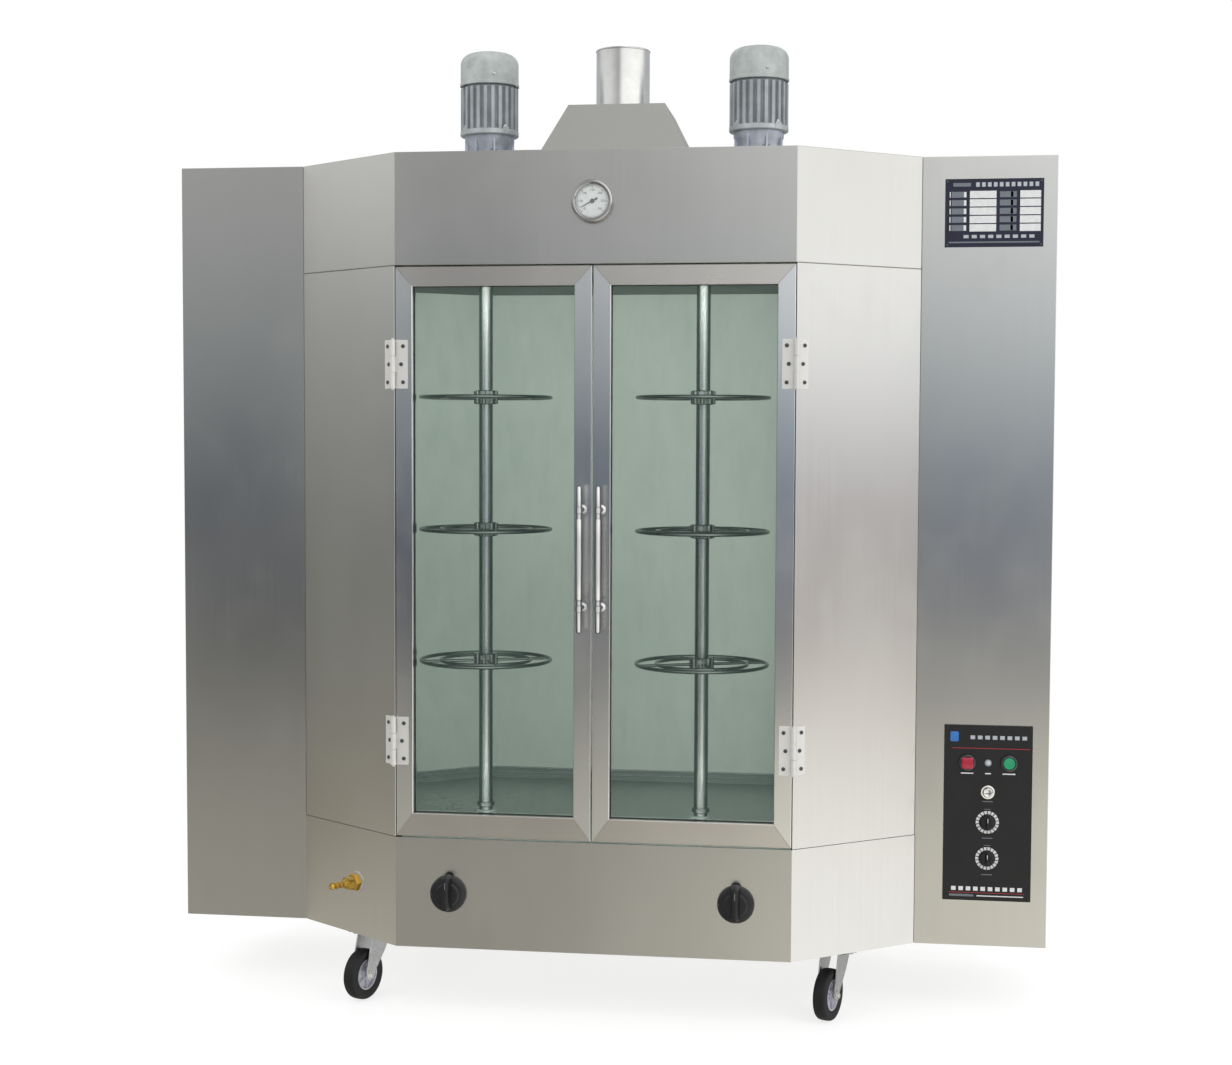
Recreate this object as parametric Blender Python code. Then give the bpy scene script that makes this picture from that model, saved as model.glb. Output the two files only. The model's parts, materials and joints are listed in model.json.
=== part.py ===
"""Rotisserie oven: an eight-sided roasting cabin on casters, with two glazed doors, two
upright turning spits, a flue, two drive motors and a service box on each side.

Every function works in cabin coordinates: x to the right, y away from the front face,
z up from the underside of the cabin. finish() moves each piece into the world frame,
whose origin is on the floor, under the centre of the whole oven.
"""

import math

import bmesh
import bpy
from mathutils import Matrix, Vector

# ---------- Driving sizes, in metres ----------
BODY_HEIGHT = 1.65
CABIN_DEPTH = 0.90
CABIN_WIDTH = 1.326
FRONT_WIDTH = 0.826
CORNER_DEPTH = 0.186
BASE_HEIGHT = 0.231
FASCIA_HEIGHT = 0.231
SIDE_BOX_WIDTH = 0.2747
CASTER_HEIGHT = 0.150
TOP_GEAR_HEIGHT = 0.283

# Sheet, walls and clearances
SHEET = 0.003
WALL_THICKNESS = 0.030
GAP = 0.0003
DOOR_GAP = 0.003
EDGE_ROUND = 0.0012
CUT_MARGIN = 0.005
SHANK_RADIUS = 0.008

# Doors, glass and handles
DOOR_THICKNESS = 0.036
STILE_WIDTH = 0.036
TOP_RAIL = 0.040
BOTTOM_RAIL = 0.048
GLASS_THICKNESS = 0.005
GLASS_GRIP = 0.010
HANDLE_LENGTH = 0.300
HANDLE_CENTRES = 0.200
HANDLE_REACH = 0.045
HANDLE_RADIUS = 0.006
GRIP_RADIUS = 0.0072
GRIP_LENGTH = 0.160
HANDLE_DROP = 0.005

# Hinges
HINGE_HEIGHT = 0.100
LEAF_WIDTH = 0.030
LEAF_THICKNESS = 0.0025
KNUCKLE_RADIUS = 0.006
KNUCKLE_REACH = 0.0068
KNUCKLE_ROOM = 0.001
PIN_RADIUS = 0.0028
HINGE_FROM_DOOR_END = 0.200

# Spits and their ring carriers
SPIT_X = 0.2365
SPIT_SHIFT = 0.030
SPIT_Y = 0.220
SPIT_RADIUS = 0.015
RING_RADIUS = 0.141
INNER_RING_RADIUS = 0.098
RING_ROD = 0.004
SPOKE_RADIUS = 0.0032
SPOKE_COUNT = 4
HUB_WALL = 0.008
HUB_HEIGHT = 0.030
TOP_CARRIER_DROP = 0.267
CARRIER_SPACING = 0.286
CUP_HEIGHT = 0.052
CUP_WALL = 0.009
CUP_FLOOR = 0.010
CUP_FOOT_WALL = 0.027
SPIT_ROOM = 0.002
TRAY_DEPTH = 0.034

# Roof gear
MOTOR_X = 0.306
MOTOR_RADIUS = 0.066
MOTOR_STUB_RADIUS = 0.010
MOTOR_STUB_DROP = 0.090
STUB_HOLE_ROOM = 0.010
FIN_COUNT = 22
FIN_DEPTH = 0.007
COWL_HEIGHT = 0.075
FOOT_HEIGHT = 0.097
FOOT_RADIUS = 0.055
FLUE_RADIUS = 0.060
HOOD_BASE = 0.360
HOOD_TOP = 0.214
HOOD_HEIGHT = 0.148
CHAIN_CASE_RADIUS = 0.050
CHAIN_CASE_HEIGHT = 0.070
SOCKET_DEPTH = 0.030
SOCKET_ROOM = 0.0005

# Fittings on the front
KNOB_X = 0.300
KNOB_RADIUS = 0.038
KNOB_STEM_RADIUS = 0.005
GAUGE_RISE = 0.125
GAUGE_RADIUS = 0.0425
INLET_SHARE = 0.41
PANEL_WIDTH = 0.182
PANEL_HEIGHT = 0.371
PANEL_X_SHIFT = 0.0127
PANEL_Z = 0.2825
PLATE_WIDTH = 0.200
PLATE_HEIGHT = 0.140
PLATE_X_SHIFT = 0.009
PLATE_DROP = 0.117
BUTTON_STEP = 0.0432
BUTTON_RISE = 0.1065
SWITCH_RISE = 0.0445
DIAL_RISES = {"upper": -0.019, "lower": -0.0955}
BUTTON_RADIUS = 0.0125
COLLAR_WALL = 0.003
FLANGE_OVERLAP = 0.003
FLANGE_ROOM = 0.0005
SWITCH_RADIUS = 0.011
LAMP_RADIUS = 0.006
DIAL_STEM_RADIUS = 0.005
WINDOW_MARGIN = 0.024

# Casters
CASTER_INSET_X = 0.163
CASTER_INSET_Y = 0.150
CASTER_PLATE = 0.090
CASTER_PLATE_THICKNESS = 0.004
PIN_NECK = 0.006
PIN_HEAD = 0.011
FORK_PLATE = 0.0057
FORK_ROOM = 0.0005
WHEEL_RADIUS = 0.054
WHEEL_WIDTH = 0.030
WHEEL_ROOM = 0.003
CHEEK = 0.0028
AXLE_RADIUS = 0.005
CASTER_TRAIL = 0.040
CASTER_TURNS = {
    "front_left": math.radians(-22),
    "front_right": math.radians(-20),
    "rear_left": math.radians(150),
    "rear_right": math.radians(196),
}

# Burners on the drip tray
BURNER_INSET = 0.103
BURNER_RADIUS = 0.019
BURNER_LENGTH = 0.400

# Sides of a round piece
FINE = 28
ROUND = 20
COARSE = 12
ROD_SIDES = 5

# Where the cabin stands in the world
FRONT_Y = -(CABIN_DEPTH - HANDLE_REACH - GRIP_RADIUS) / 2
TO_WORLD = Vector((0, FRONT_Y, CASTER_HEIGHT))

# Plan angles of the cabin's corners
HALF_FRONT = FRONT_WIDTH / 2
HALF_CABIN = CABIN_WIDTH / 2
PANEL_ANGLE = math.atan2(CORNER_DEPTH, HALF_CABIN - HALF_FRONT)
SIDE_ANGLE = math.pi / 2 - PANEL_ANGLE

# Heights of the cabin's layers
DOOR_LOW = BASE_HEIGHT + DOOR_GAP
DOOR_HIGH = BODY_HEIGHT - FASCIA_HEIGHT - DOOR_GAP
FASCIA_LOW = BODY_HEIGHT - FASCIA_HEIGHT
LEDGE_WIDTH = WALL_THICKNESS
TRAY_FLOOR = BASE_HEIGHT - TRAY_DEPTH + SHEET
CEILING_TOP = FASCIA_LOW + GAP + SHEET
ROOF_TOP = BODY_HEIGHT + GAP

# Places that follow from other sizes
ROOF_GEAR_Y = CABIN_DEPTH / 2
CASTER_X = HALF_CABIN - CASTER_INSET_X
BURNER_X = HALF_CABIN - BURNER_INSET
BASE_MIDDLE_Z = BASE_HEIGHT / 2
FORK_TOP = -CASTER_PLATE_THICKNESS - GAP - FORK_ROOM
FORK_UNDER = FORK_TOP - FORK_PLATE
GAUGE_Z = FASCIA_LOW + GAUGE_RISE
PLATE_Z = BODY_HEIGHT - PLATE_DROP
HANDLE_Z = (DOOR_LOW + DOOR_HIGH) / 2 - HANDLE_DROP
HUB_RADIUS = SPIT_RADIUS + HUB_WALL
CUP_RADIUS = SPIT_RADIUS + CUP_WALL

STEEL = (0.62, 0.61, 0.58)
DARK = (0.02, 0.02, 0.022)
BRIGHT = (0.80, 0.80, 0.80)


# ---------- Making and joining solids ----------
def new_object(name, points, faces):
    """A mesh object whose faces all point outward."""
    mesh = bpy.data.meshes.new(name)
    mesh.from_pydata(points, [], faces)
    shell = bmesh.new()
    shell.from_mesh(mesh)
    bmesh.ops.recalc_face_normals(shell, faces=shell.faces)
    shell.to_mesh(mesh)
    shell.free()
    obj = bpy.data.objects.new(name, mesh)
    bpy.context.scene.collection.objects.link(obj)
    return obj


def loft(name, low_outline, low, high_outline, high):
    """A column between two plan outlines that have the same number of corners."""
    count = len(low_outline)
    points = [(x, y, low) for x, y in low_outline]
    points += [(x, y, high) for x, y in high_outline]
    faces = [tuple(range(count)), tuple(range(count, 2 * count))]
    for i in range(count):
        j = (i + 1) % count
        faces.append((i, j, count + j, count + i))
    return new_object(name, points, faces)


def prism(name, outline, low, high):
    return loft(name, outline, low, outline, high)


def rectangle(x_low, x_high, y_low, y_high):
    return [(x_low, y_low), (x_high, y_low), (x_high, y_high), (x_low, y_high)]


def box(name, x_ends, y_ends, z_ends):
    """A box between two ends on each axis, given in either order."""
    outline = rectangle(min(x_ends), max(x_ends), min(y_ends), max(y_ends))
    return prism(name, outline, min(z_ends), max(z_ends))


def circle(radius, sides, phase=0.0):
    """Corner points of a regular polygon."""
    angles = [phase + 2 * math.pi * i / sides for i in range(sides)]
    return [(radius * math.cos(t), radius * math.sin(t)) for t in angles]


def revolve(name, profile, sides, closed=False):
    """A round body about +Z, from (radius, height) pairs.

    An open profile starts and ends on the axis. A closed one is a ring round it.
    """
    points = []
    rows = []
    for radius, height in profile:
        first = len(points)
        if radius == 0:
            points.append((0, 0, height))
        else:
            points += [(x, y, height) for x, y in circle(radius, sides)]
        rows.append(range(first, len(points)))
    pairs = list(zip(rows, rows[1:]))
    if closed:
        pairs.append((rows[-1], rows[0]))
    faces = []
    for low, high in pairs:
        for i in range(sides):
            j = (i + 1) % sides
            around = (low[i % len(low)], low[j % len(low)])
            around += (high[j % len(high)], high[i % len(high)])
            face = tuple(dict.fromkeys(around))
            if len(face) > 2:
                faces.append(face)
    return new_object(name, points, faces)


def cylinder(name, radius, low, high, sides):
    return revolve(name, [(0, low), (radius, low), (radius, high), (0, high)], sides)


def torus(name, radius, rod, sides):
    """A ring of round rod."""
    section = circle(rod, ROD_SIDES)
    return revolve(name, [(radius + x, y) for x, y in section], sides, closed=True)


def shift(obj, x=0.0, y=0.0, z=0.0):
    obj.data.transform(Matrix.Translation((x, y, z)))
    return obj


def spin(obj, angle, axis="Z"):
    """Turns a solid about one of the axes through the origin."""
    obj.data.transform(Matrix.Rotation(angle, 4, axis))
    return obj


def face_front(obj):
    """Turns a solid made about +Z to point toward the front."""
    return spin(obj, math.pi / 2, "X")


def apply_step(obj, step):
    """Makes a modifier's result permanent, so that later steps work on it."""
    bpy.context.view_layer.objects.active = obj
    bpy.ops.object.modifier_apply(modifier=step.name)


def combine(target, other, operation):
    """Joins another solid to this one, or cuts it away, and removes the other."""
    step = target.modifiers.new("Step", "BOOLEAN")
    step.operation = operation
    step.solver = "EXACT"
    step.object = other
    apply_step(target, step)
    bpy.data.objects.remove(other)
    return target


def join(target, *others):
    for other in others:
        combine(target, other, "UNION")
    return target


def cut(target, *others):
    for other in others:
        combine(target, other, "DIFFERENCE")
    return target


def round_edges(obj, width, segments=1, angle=35):
    """Takes the sharpness off edges that turn by more than the angle, in degrees."""
    step = obj.modifiers.new("Edge round", "BEVEL")
    step.width = width
    step.segments = segments
    step.limit_method = "ANGLE"
    step.angle_limit = math.radians(angle)
    apply_step(obj, step)
    return obj


def finish(obj, origin, colour, metallic=1.0, roughness=0.35, alpha=1.0):
    """Puts the origin on the piece's own axis, moves it to the world and colours it."""
    obj.data.transform(Matrix.Translation(-Vector(origin)))
    obj.location = Vector(origin) + TO_WORLD
    obj.data.shade_smooth()
    obj.data.set_sharp_from_angle(angle=math.radians(40))
    look = bpy.data.materials.new(obj.name + "_look")
    look.use_nodes = True
    shader = look.node_tree.nodes["Principled BSDF"]
    shader.inputs["Base Color"].default_value = (*colour, 1)
    shader.inputs["Metallic"].default_value = metallic
    shader.inputs["Roughness"].default_value = roughness
    shader.inputs["Alpha"].default_value = alpha
    obj.data.materials.append(look)
    return obj


# ---------- The cabin's plan ----------
def front_corner(inset):
    """The right front corner of the plan, with every side moved inward."""
    return HALF_FRONT - inset * math.tan(PANEL_ANGLE / 2), inset


def side_corner(inset):
    """The corner behind it, between the angled panel and the side."""
    return HALF_CABIN - inset, CORNER_DEPTH + inset * math.tan(SIDE_ANGLE / 2)


def octagon(inset):
    """The cabin's eight plan corners, with every side moved inward."""
    front_x, front_y = front_corner(inset)
    side_x, side_y = side_corner(inset)
    right = [(front_x, front_y), (side_x, side_y)]
    right += [(x, CABIN_DEPTH - y) for x, y in reversed(right)]
    return right + [(-x, y) for x, y in reversed(right)]


def wall_outline():
    """The plan of the cabin wall: five and two half sides, open across the doors."""
    end = (HALF_FRONT, WALL_THICKNESS / math.cos(PANEL_ANGLE))
    outer = octagon(0)
    inner = octagon(WALL_THICKNESS)
    inner[0] = end
    inner[-1] = (-end[0], end[1])
    return outer + list(reversed(inner))


def on_left_panel(share):
    """The plan point at a share of the way along the left angled panel."""
    x = HALF_FRONT + share * (HALF_CABIN - HALF_FRONT)
    return -x, share * CORNER_DEPTH


# ---------- Fixed sheet work ----------
def spit_x(side):
    """Where a spit stands across the cabin: the pair sits a little left of the middle."""
    return side * SPIT_X - SPIT_SHIFT


def caster_mount(x, y):
    """The plate under the base that one caster turns on, with its headed pin."""
    half = CASTER_PLATE / 2
    under = -CASTER_PLATE_THICKNESS
    head = FORK_UNDER - FORK_ROOM
    plate = box("plate", (x - half, x + half), (y - half, y + half), (under, SHEET / 3))
    pin = [(0, under / 2), (PIN_NECK, under / 2), (PIN_NECK, head), (PIN_HEAD, head)]
    pin += [(PIN_HEAD, head - 0.005), (0, head - 0.005)]
    return join(plate, shift(revolve("pin", pin, COARSE), x, y))


def caster_places():
    """Name and plan position of each caster."""
    places = {}
    for row, y in (("front", CASTER_INSET_Y), ("rear", CABIN_DEPTH - CASTER_INSET_Y)):
        for side, x in (("left", -CASTER_X), ("right", CASTER_X)):
            places[f"{row}_{side}"] = (x, y)
    return places


def build_base():
    """The base: an open tub with a ledge for the drip tray."""
    base = prism("base_cabinet", octagon(0), 0, BASE_HEIGHT)
    ledge_low = BASE_HEIGHT - TRAY_DEPTH - 2 * SHEET
    ledge_high = BASE_HEIGHT - TRAY_DEPTH
    cut(base, prism("lower", octagon(SHEET), SHEET, ledge_low))
    cut(base, prism("mouth", octagon(LEDGE_WIDTH), 2 * SHEET, BASE_HEIGHT + CUT_MARGIN))
    cut(base, prism("upper", octagon(SHEET), ledge_high, BASE_HEIGHT + CUT_MARGIN))
    for side in (-1, 1):
        hole = face_front(cylinder("hole", KNOB_STEM_RADIUS + GAP, -CUT_MARGIN, CUT_MARGIN, COARSE))
        cut(base, shift(hole, side * KNOB_X, 0, BASE_MIDDLE_Z))
    hole = face_front(cylinder("hole", SHANK_RADIUS + GAP, -CUT_MARGIN, CUT_MARGIN, COARSE))
    x, y = on_left_panel(INLET_SHARE)
    cut(base, shift(spin(hole, -PANEL_ANGLE), x, y, BASE_MIDDLE_Z))
    for x, y in caster_places().values():
        join(base, caster_mount(x, y))
    finish(base, (0, 0, 0), STEEL)


def build_wall():
    """The insulated wall round the cabin, open at the front for the doors."""
    wall = prism("cabin_wall", wall_outline(), BASE_HEIGHT + GAP, FASCIA_LOW - GAP)
    round_edges(wall, EDGE_ROUND)
    finish(wall, (0, 0, 0), STEEL)


def build_roof():
    """The fascia and roof in one folded cap, open underneath."""
    roof = prism("roof_fascia", octagon(0), FASCIA_LOW, BODY_HEIGHT)
    round_edges(roof, EDGE_ROUND)
    low = FASCIA_LOW - CUT_MARGIN
    inside = prism("inside", octagon(SHEET), low, BODY_HEIGHT - SHEET)
    bore = cylinder("bore", FLUE_RADIUS - SHEET, low, BODY_HEIGHT + CUT_MARGIN, ROUND)
    cut(roof, inside, shift(bore, 0, ROOF_GEAR_Y))
    for side in (-1, 1):
        radius = MOTOR_STUB_RADIUS + STUB_HOLE_ROOM
        bore = cylinder("bore", radius, low, BODY_HEIGHT + CUT_MARGIN, COARSE)
        cut(roof, shift(bore, side * MOTOR_X, ROOF_GEAR_Y))
    stem = face_front(cylinder("stem", SHANK_RADIUS + GAP, -CUT_MARGIN, CUT_MARGIN, COARSE))
    cut(roof, shift(stem, 0, 0, GAUGE_Z))
    finish(roof, (0, 0, 0), STEEL)


def build_ceiling():
    """The plate that closes the top of the cabin and carries the chain cases."""
    low = FASCIA_LOW + GAP
    plate = prism("cabin_ceiling", octagon(SHEET + GAP), low, CEILING_TOP)
    margins = (low - CUT_MARGIN, CEILING_TOP + CUT_MARGIN)
    cut(plate, shift(cylinder("bore", FLUE_RADIUS - SHEET, *margins, ROUND), 0, ROOF_GEAR_Y))
    for side in (-1, 1):
        bore = cylinder("bore", SPIT_RADIUS + SPIT_ROOM, *margins, ROUND)
        cut(plate, shift(bore, spit_x(side), SPIT_Y))
    finish(plate, (0, 0, 0), STEEL)


def build_tray():
    """The drip tray, with a bearing cup for the foot of each spit."""
    low = BASE_HEIGHT - TRAY_DEPTH + GAP
    tray = prism("drip_tray", octagon(SHEET + GAP), low, BASE_HEIGHT - GAP)
    inset = 2 * SHEET + GAP
    cut(tray, prism("inside", octagon(inset), TRAY_FLOOR, BASE_HEIGHT + CUT_MARGIN))
    root = TRAY_FLOOR - SHEET / 2
    bore, foot = SPIT_RADIUS + GAP, SPIT_RADIUS + CUP_FOOT_WALL
    cup_floor, cup_top = TRAY_FLOOR + CUP_FLOOR, TRAY_FLOOR + CUP_HEIGHT
    cup = [(0, root), (foot, root), (foot, TRAY_FLOOR + 0.006), (CUP_RADIUS, TRAY_FLOOR + 0.008)]
    cup += [(CUP_RADIUS, cup_top), (bore, cup_top), (bore, cup_floor), (0, cup_floor)]
    for side in (-1, 1):
        join(tray, shift(revolve("cup", cup, ROUND), spit_x(side), SPIT_Y))
    finish(tray, (0, 0, 0), STEEL, roughness=0.3)


def build_burner(side, name):
    """A gas burner tube lying on two feet on the drip tray, along a side wall."""
    z = TRAY_FLOOR + GAP + 0.008 + BURNER_RADIUS
    tube = face_front(cylinder(name, BURNER_RADIUS, 0, BURNER_LENGTH, COARSE))
    shift(tube, side * BURNER_X, (CABIN_DEPTH + BURNER_LENGTH) / 2, z)
    for y in (CABIN_DEPTH / 2 - BURNER_LENGTH / 3, CABIN_DEPTH / 2 + BURNER_LENGTH / 3):
        ends = (side * BURNER_X - 0.015, side * BURNER_X + 0.015)
        join(tube, box("foot", ends, (y - 0.01, y + 0.01), (TRAY_FLOOR + GAP, z)))
    finish(tube, (side * BURNER_X, CABIN_DEPTH / 2, z), (0.45, 0.44, 0.42))


def build_side_box(side, name):
    """A service box beside the cabin, folded from sheet and open toward the cabin."""
    inner = HALF_CABIN + GAP
    outer = inner + SIDE_BOX_WIDTH
    back = CABIN_DEPTH - CORNER_DEPTH
    shell = box(name, (side * inner, side * outer), (CORNER_DEPTH, back), (0, BODY_HEIGHT))
    round_edges(shell, EDGE_ROUND)
    hollow = box(
        "hollow",
        (side * (inner - CUT_MARGIN), side * (outer - SHEET)),
        (CORNER_DEPTH + SHEET, back - SHEET),
        (SHEET, BODY_HEIGHT - SHEET),
    )
    cut(shell, hollow)
    if side > 0:
        depths = (CORNER_DEPTH - CUT_MARGIN, CORNER_DEPTH + 2 * SHEET)
        cut(shell, panel_slab("window", WINDOW_MARGIN, *depths))
    finish(shell, (side * inner, CORNER_DEPTH, 0), STEEL)


def build_hood():
    """The tapered sheet hood under the flue."""
    half, top = HOOD_BASE / 2, HOOD_TOP / 2
    low, high = ROOF_TOP, BODY_HEIGHT + HOOD_HEIGHT
    hood = loft("flue_hood", rectangle(-half, half, -half, half), low,
                rectangle(-top, top, -top, top), high)
    half, top = half - 1.5 * SHEET, top - SHEET
    inside = loft("inside", rectangle(-half, half, -half, half), low - CUT_MARGIN,
                  rectangle(-top, top, -top, top), high - SHEET)
    bore = cylinder("bore", FLUE_RADIUS - SHEET, low, high + CUT_MARGIN, ROUND)
    cut(hood, inside, bore)
    shift(hood, 0, ROOF_GEAR_Y)
    finish(hood, (0, ROOF_GEAR_Y, low), STEEL)


def build_flue():
    """The round flue pipe, with a welded foot ring that stands on the hood."""
    low = BODY_HEIGHT + HOOD_HEIGHT + GAP
    high = BODY_HEIGHT + TOP_GEAR_HEIGHT
    bore = FLUE_RADIUS - SHEET
    profile = [(bore, low), (FLUE_RADIUS + 0.006, low), (FLUE_RADIUS + 0.006, low + 0.003)]
    profile += [(FLUE_RADIUS, low + 0.003), (FLUE_RADIUS, high), (bore, high)]
    pipe = shift(revolve("flue_pipe", profile, FINE, closed=True), 0, ROOF_GEAR_Y)
    finish(pipe, (0, ROOF_GEAR_Y, low), BRIGHT, roughness=0.15)


# ---------- Drives ----------
def finned_outline():
    """The plan of the motor's ribbed casing."""
    step = 2 * math.pi / FIN_COUNT
    outline = []
    for i in range(FIN_COUNT):
        for share, radius in (
            (0.05, MOTOR_RADIUS),
            (0.35, MOTOR_RADIUS),
            (0.45, MOTOR_RADIUS - FIN_DEPTH),
            (0.95, MOTOR_RADIUS - FIN_DEPTH),
        ):
            angle = (i + share) * step
            outline.append((radius * math.cos(angle), radius * math.sin(angle)))
    return outline


def build_motor(side, name):
    """A drive motor: square foot flange, neck, end shield and ribbed casing."""
    body_low = ROOF_TOP + FOOT_HEIGHT
    body_high = BODY_HEIGHT + TOP_GEAR_HEIGHT - COWL_HEIGHT - GAP
    motor = prism(name, finned_outline(), body_low + 0.008, body_high)
    shield = MOTOR_RADIUS + 0.0005
    profile = [(0, ROOF_TOP + 0.004), (FOOT_RADIUS, ROOF_TOP + 0.004), (FOOT_RADIUS, body_low)]
    profile += [(shield, body_low), (shield, body_low + 0.012), (0, body_low + 0.012)]
    half = MOTOR_RADIUS + 0.004
    flange = box("flange", (-half, half), (-half, half), (ROOF_TOP, ROOF_TOP + 0.008))
    stub_low = BODY_HEIGHT - MOTOR_STUB_DROP
    stub = cylinder("stub", MOTOR_STUB_RADIUS, stub_low, ROOF_TOP + 0.004, COARSE)
    join(motor, revolve("neck", profile, FINE), flange, stub)
    shift(motor, side * MOTOR_X, ROOF_GEAR_Y)
    finish(motor, (side * MOTOR_X, ROOF_GEAR_Y, ROOF_TOP), (0.30, 0.33, 0.34), 0.3, 0.45)


def build_cowl(side, name):
    """The smooth fan cowl on top of a motor."""
    high = BODY_HEIGHT + TOP_GEAR_HEIGHT
    low = high - COWL_HEIGHT
    rim = MOTOR_RADIUS + 0.001
    profile = [(0, low), (rim, low), (rim, high - 0.020), (rim - 0.004, high - 0.011)]
    profile += [(rim - 0.013, high - 0.004), (rim - 0.026, high), (0, high)]
    cowl = shift(revolve(name, profile, FINE), side * MOTOR_X, ROOF_GEAR_Y)
    finish(cowl, (side * MOTOR_X, ROOF_GEAR_Y, low), (0.38, 0.42, 0.40), 0.0, 0.4)


def build_chain_case(side, name):
    """The closed case under the roof that carries the drive from motor to spit."""
    low = CEILING_TOP + GAP
    high = low + CHAIN_CASE_HEIGHT
    reach_x, reach_y = side * MOTOR_X - spit_x(side), ROOF_GEAR_Y - SPIT_Y
    heading = math.atan2(reach_y, reach_x)
    length = math.hypot(reach_x, reach_y)
    half_turn = [math.pi / 2 + math.pi * i / COARSE for i in range(COARSE + 1)]
    near = [(CHAIN_CASE_RADIUS * math.cos(t), CHAIN_CASE_RADIUS * math.sin(t)) for t in half_turn]
    far = [(length - x, -y) for x, y in near]
    case = prism(name, near + far, low, high)
    cut(case, cylinder("bore", SPIT_RADIUS + GAP, low - CUT_MARGIN, high - SHEET, ROUND))
    radius = MOTOR_STUB_RADIUS + SOCKET_ROOM
    socket = cylinder("socket", radius, high - SOCKET_DEPTH, high + CUT_MARGIN, COARSE)
    cut(case, shift(socket, length))
    shift(spin(case, heading), spit_x(side), SPIT_Y)
    finish(case, (spit_x(side), SPIT_Y, low), (0.10, 0.11, 0.12), 0.3, 0.5)


def build_spit(side, name):
    """An upright spit, from its bearing cup to the chain case."""
    low = TRAY_FLOOR + CUP_FLOOR + GAP
    high = CEILING_TOP + CHAIN_CASE_HEIGHT - 2 * SHEET
    spit = shift(cylinder(name, SPIT_RADIUS, low, high, ROUND), spit_x(side), SPIT_Y)
    finish(spit, (spit_x(side), SPIT_Y, low), BRIGHT, roughness=0.2)


def build_carrier(side, name, height):
    """A ring carrier on a spit: clamped hub, spokes and two rings of rod."""
    bore = (SPIT_RADIUS + GAP) / math.cos(math.pi / COARSE)
    half = HUB_HEIGHT / 2
    hub = [(bore, -half), (HUB_RADIUS, -half), (HUB_RADIUS, half), (bore, half)]
    carrier = torus(name, RING_RADIUS, RING_ROD, FINE)
    others = [torus("inner", INNER_RING_RADIUS, RING_ROD, ROUND)]
    for i in range(SPOKE_COUNT):
        spoke = cylinder("spoke", SPOKE_RADIUS, HUB_RADIUS - 0.002, RING_RADIUS, ROD_SIDES)
        spin(spoke, math.pi / 2, "Y")
        others.append(spin(spoke, 2 * math.pi * i / SPOKE_COUNT + math.radians(23)))
    others.append(revolve("hub", hub, COARSE, closed=True))
    screw = face_front(cylinder("screw", 0.004, HUB_RADIUS - 0.002, HUB_RADIUS + 0.010, 8))
    others.append(shift(screw, 0, 0, 0.008))
    join(carrier, *others)
    centre = (spit_x(side), SPIT_Y, height)
    finish(shift(carrier, *centre), centre, BRIGHT, roughness=0.25)


# ---------- Doors ----------
def hinge_axis(side):
    """The plan point of a door's hinge line, just outside the cabin's front corner."""
    return side * (HALF_FRONT + KNUCKLE_REACH * math.tan(PANEL_ANGLE / 2)), -KNUCKLE_REACH


def door_origin(side):
    return (*hinge_axis(side), DOOR_LOW)


def build_door(side, name):
    """A door frame with a slot all round for its glass."""
    inner, outer = DOOR_GAP / 2, HALF_FRONT - DOOR_GAP / 2
    door = box(name, (side * inner, side * outer), (0, DOOR_THICKNESS), (DOOR_LOW, DOOR_HIGH))
    round_edges(door, EDGE_ROUND)
    opening = (side * (inner + STILE_WIDTH), side * (outer - STILE_WIDTH))
    heights = (DOOR_LOW + BOTTOM_RAIL, DOOR_HIGH - TOP_RAIL)
    cut(door, box("opening", opening, (-CUT_MARGIN, DOOR_THICKNESS + CUT_MARGIN), heights))
    cut(door, glass_slab("slot", side, 0))
    finish(door, door_origin(side), STEEL, roughness=0.3)


def glass_slab(name, side, clearance):
    """The slab that a pane fills in its door, less a clearance all round."""
    inner, outer = DOOR_GAP / 2, HALF_FRONT - DOOR_GAP / 2
    edge = STILE_WIDTH - GLASS_GRIP + clearance
    middle = DOOR_THICKNESS / 2
    half = GLASS_THICKNESS / 2 + GAP - clearance
    low = DOOR_LOW + BOTTOM_RAIL - GLASS_GRIP + clearance
    high = DOOR_HIGH - TOP_RAIL + GLASS_GRIP - clearance
    return box(
        name,
        (side * (inner + edge), side * (outer - edge)),
        (middle - half, middle + half),
        (low, high),
    )


def build_glass(side, name):
    finish(glass_slab(name, side, GAP), door_origin(side), (0.70, 0.82, 0.76), 0.0, 0.05, 0.3)


def build_handle(side, name):
    """A bar handle on two posts, on the stile where the doors meet."""
    half, grip = HANDLE_LENGTH / 2, GRIP_LENGTH / 2
    profile = [(0, -half), (HANDLE_RADIUS - 0.001, -half), (HANDLE_RADIUS, 0.001 - half)]
    profile += [(HANDLE_RADIUS, -grip - 0.002), (GRIP_RADIUS, -grip), (GRIP_RADIUS, grip)]
    profile += [(HANDLE_RADIUS, grip + 0.002), (HANDLE_RADIUS, half - 0.001)]
    profile += [(HANDLE_RADIUS - 0.001, half), (0, half)]
    handle = shift(revolve(name, profile, COARSE), 0, -HANDLE_REACH)
    for z in (-HANDLE_CENTRES / 2, HANDLE_CENTRES / 2):
        post = [(0, GAP), (0.010, GAP), (0.010, 0.005), (0.005, 0.006), (0.005, HANDLE_REACH)]
        post.append((0, HANDLE_REACH))
        join(handle, shift(spin(face_front(revolve("post", post, COARSE)), 0.13, "Y"), 0, 0, z))
    x = side * (DOOR_GAP + STILE_WIDTH) / 2
    finish(shift(handle, x, 0, HANDLE_Z), door_origin(side), BRIGHT, roughness=0.2)


def hinge_heights():
    return {"upper": DOOR_HIGH - HINGE_FROM_DOOR_END, "lower": DOOR_LOW + HINGE_FROM_DOOR_END}


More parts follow.
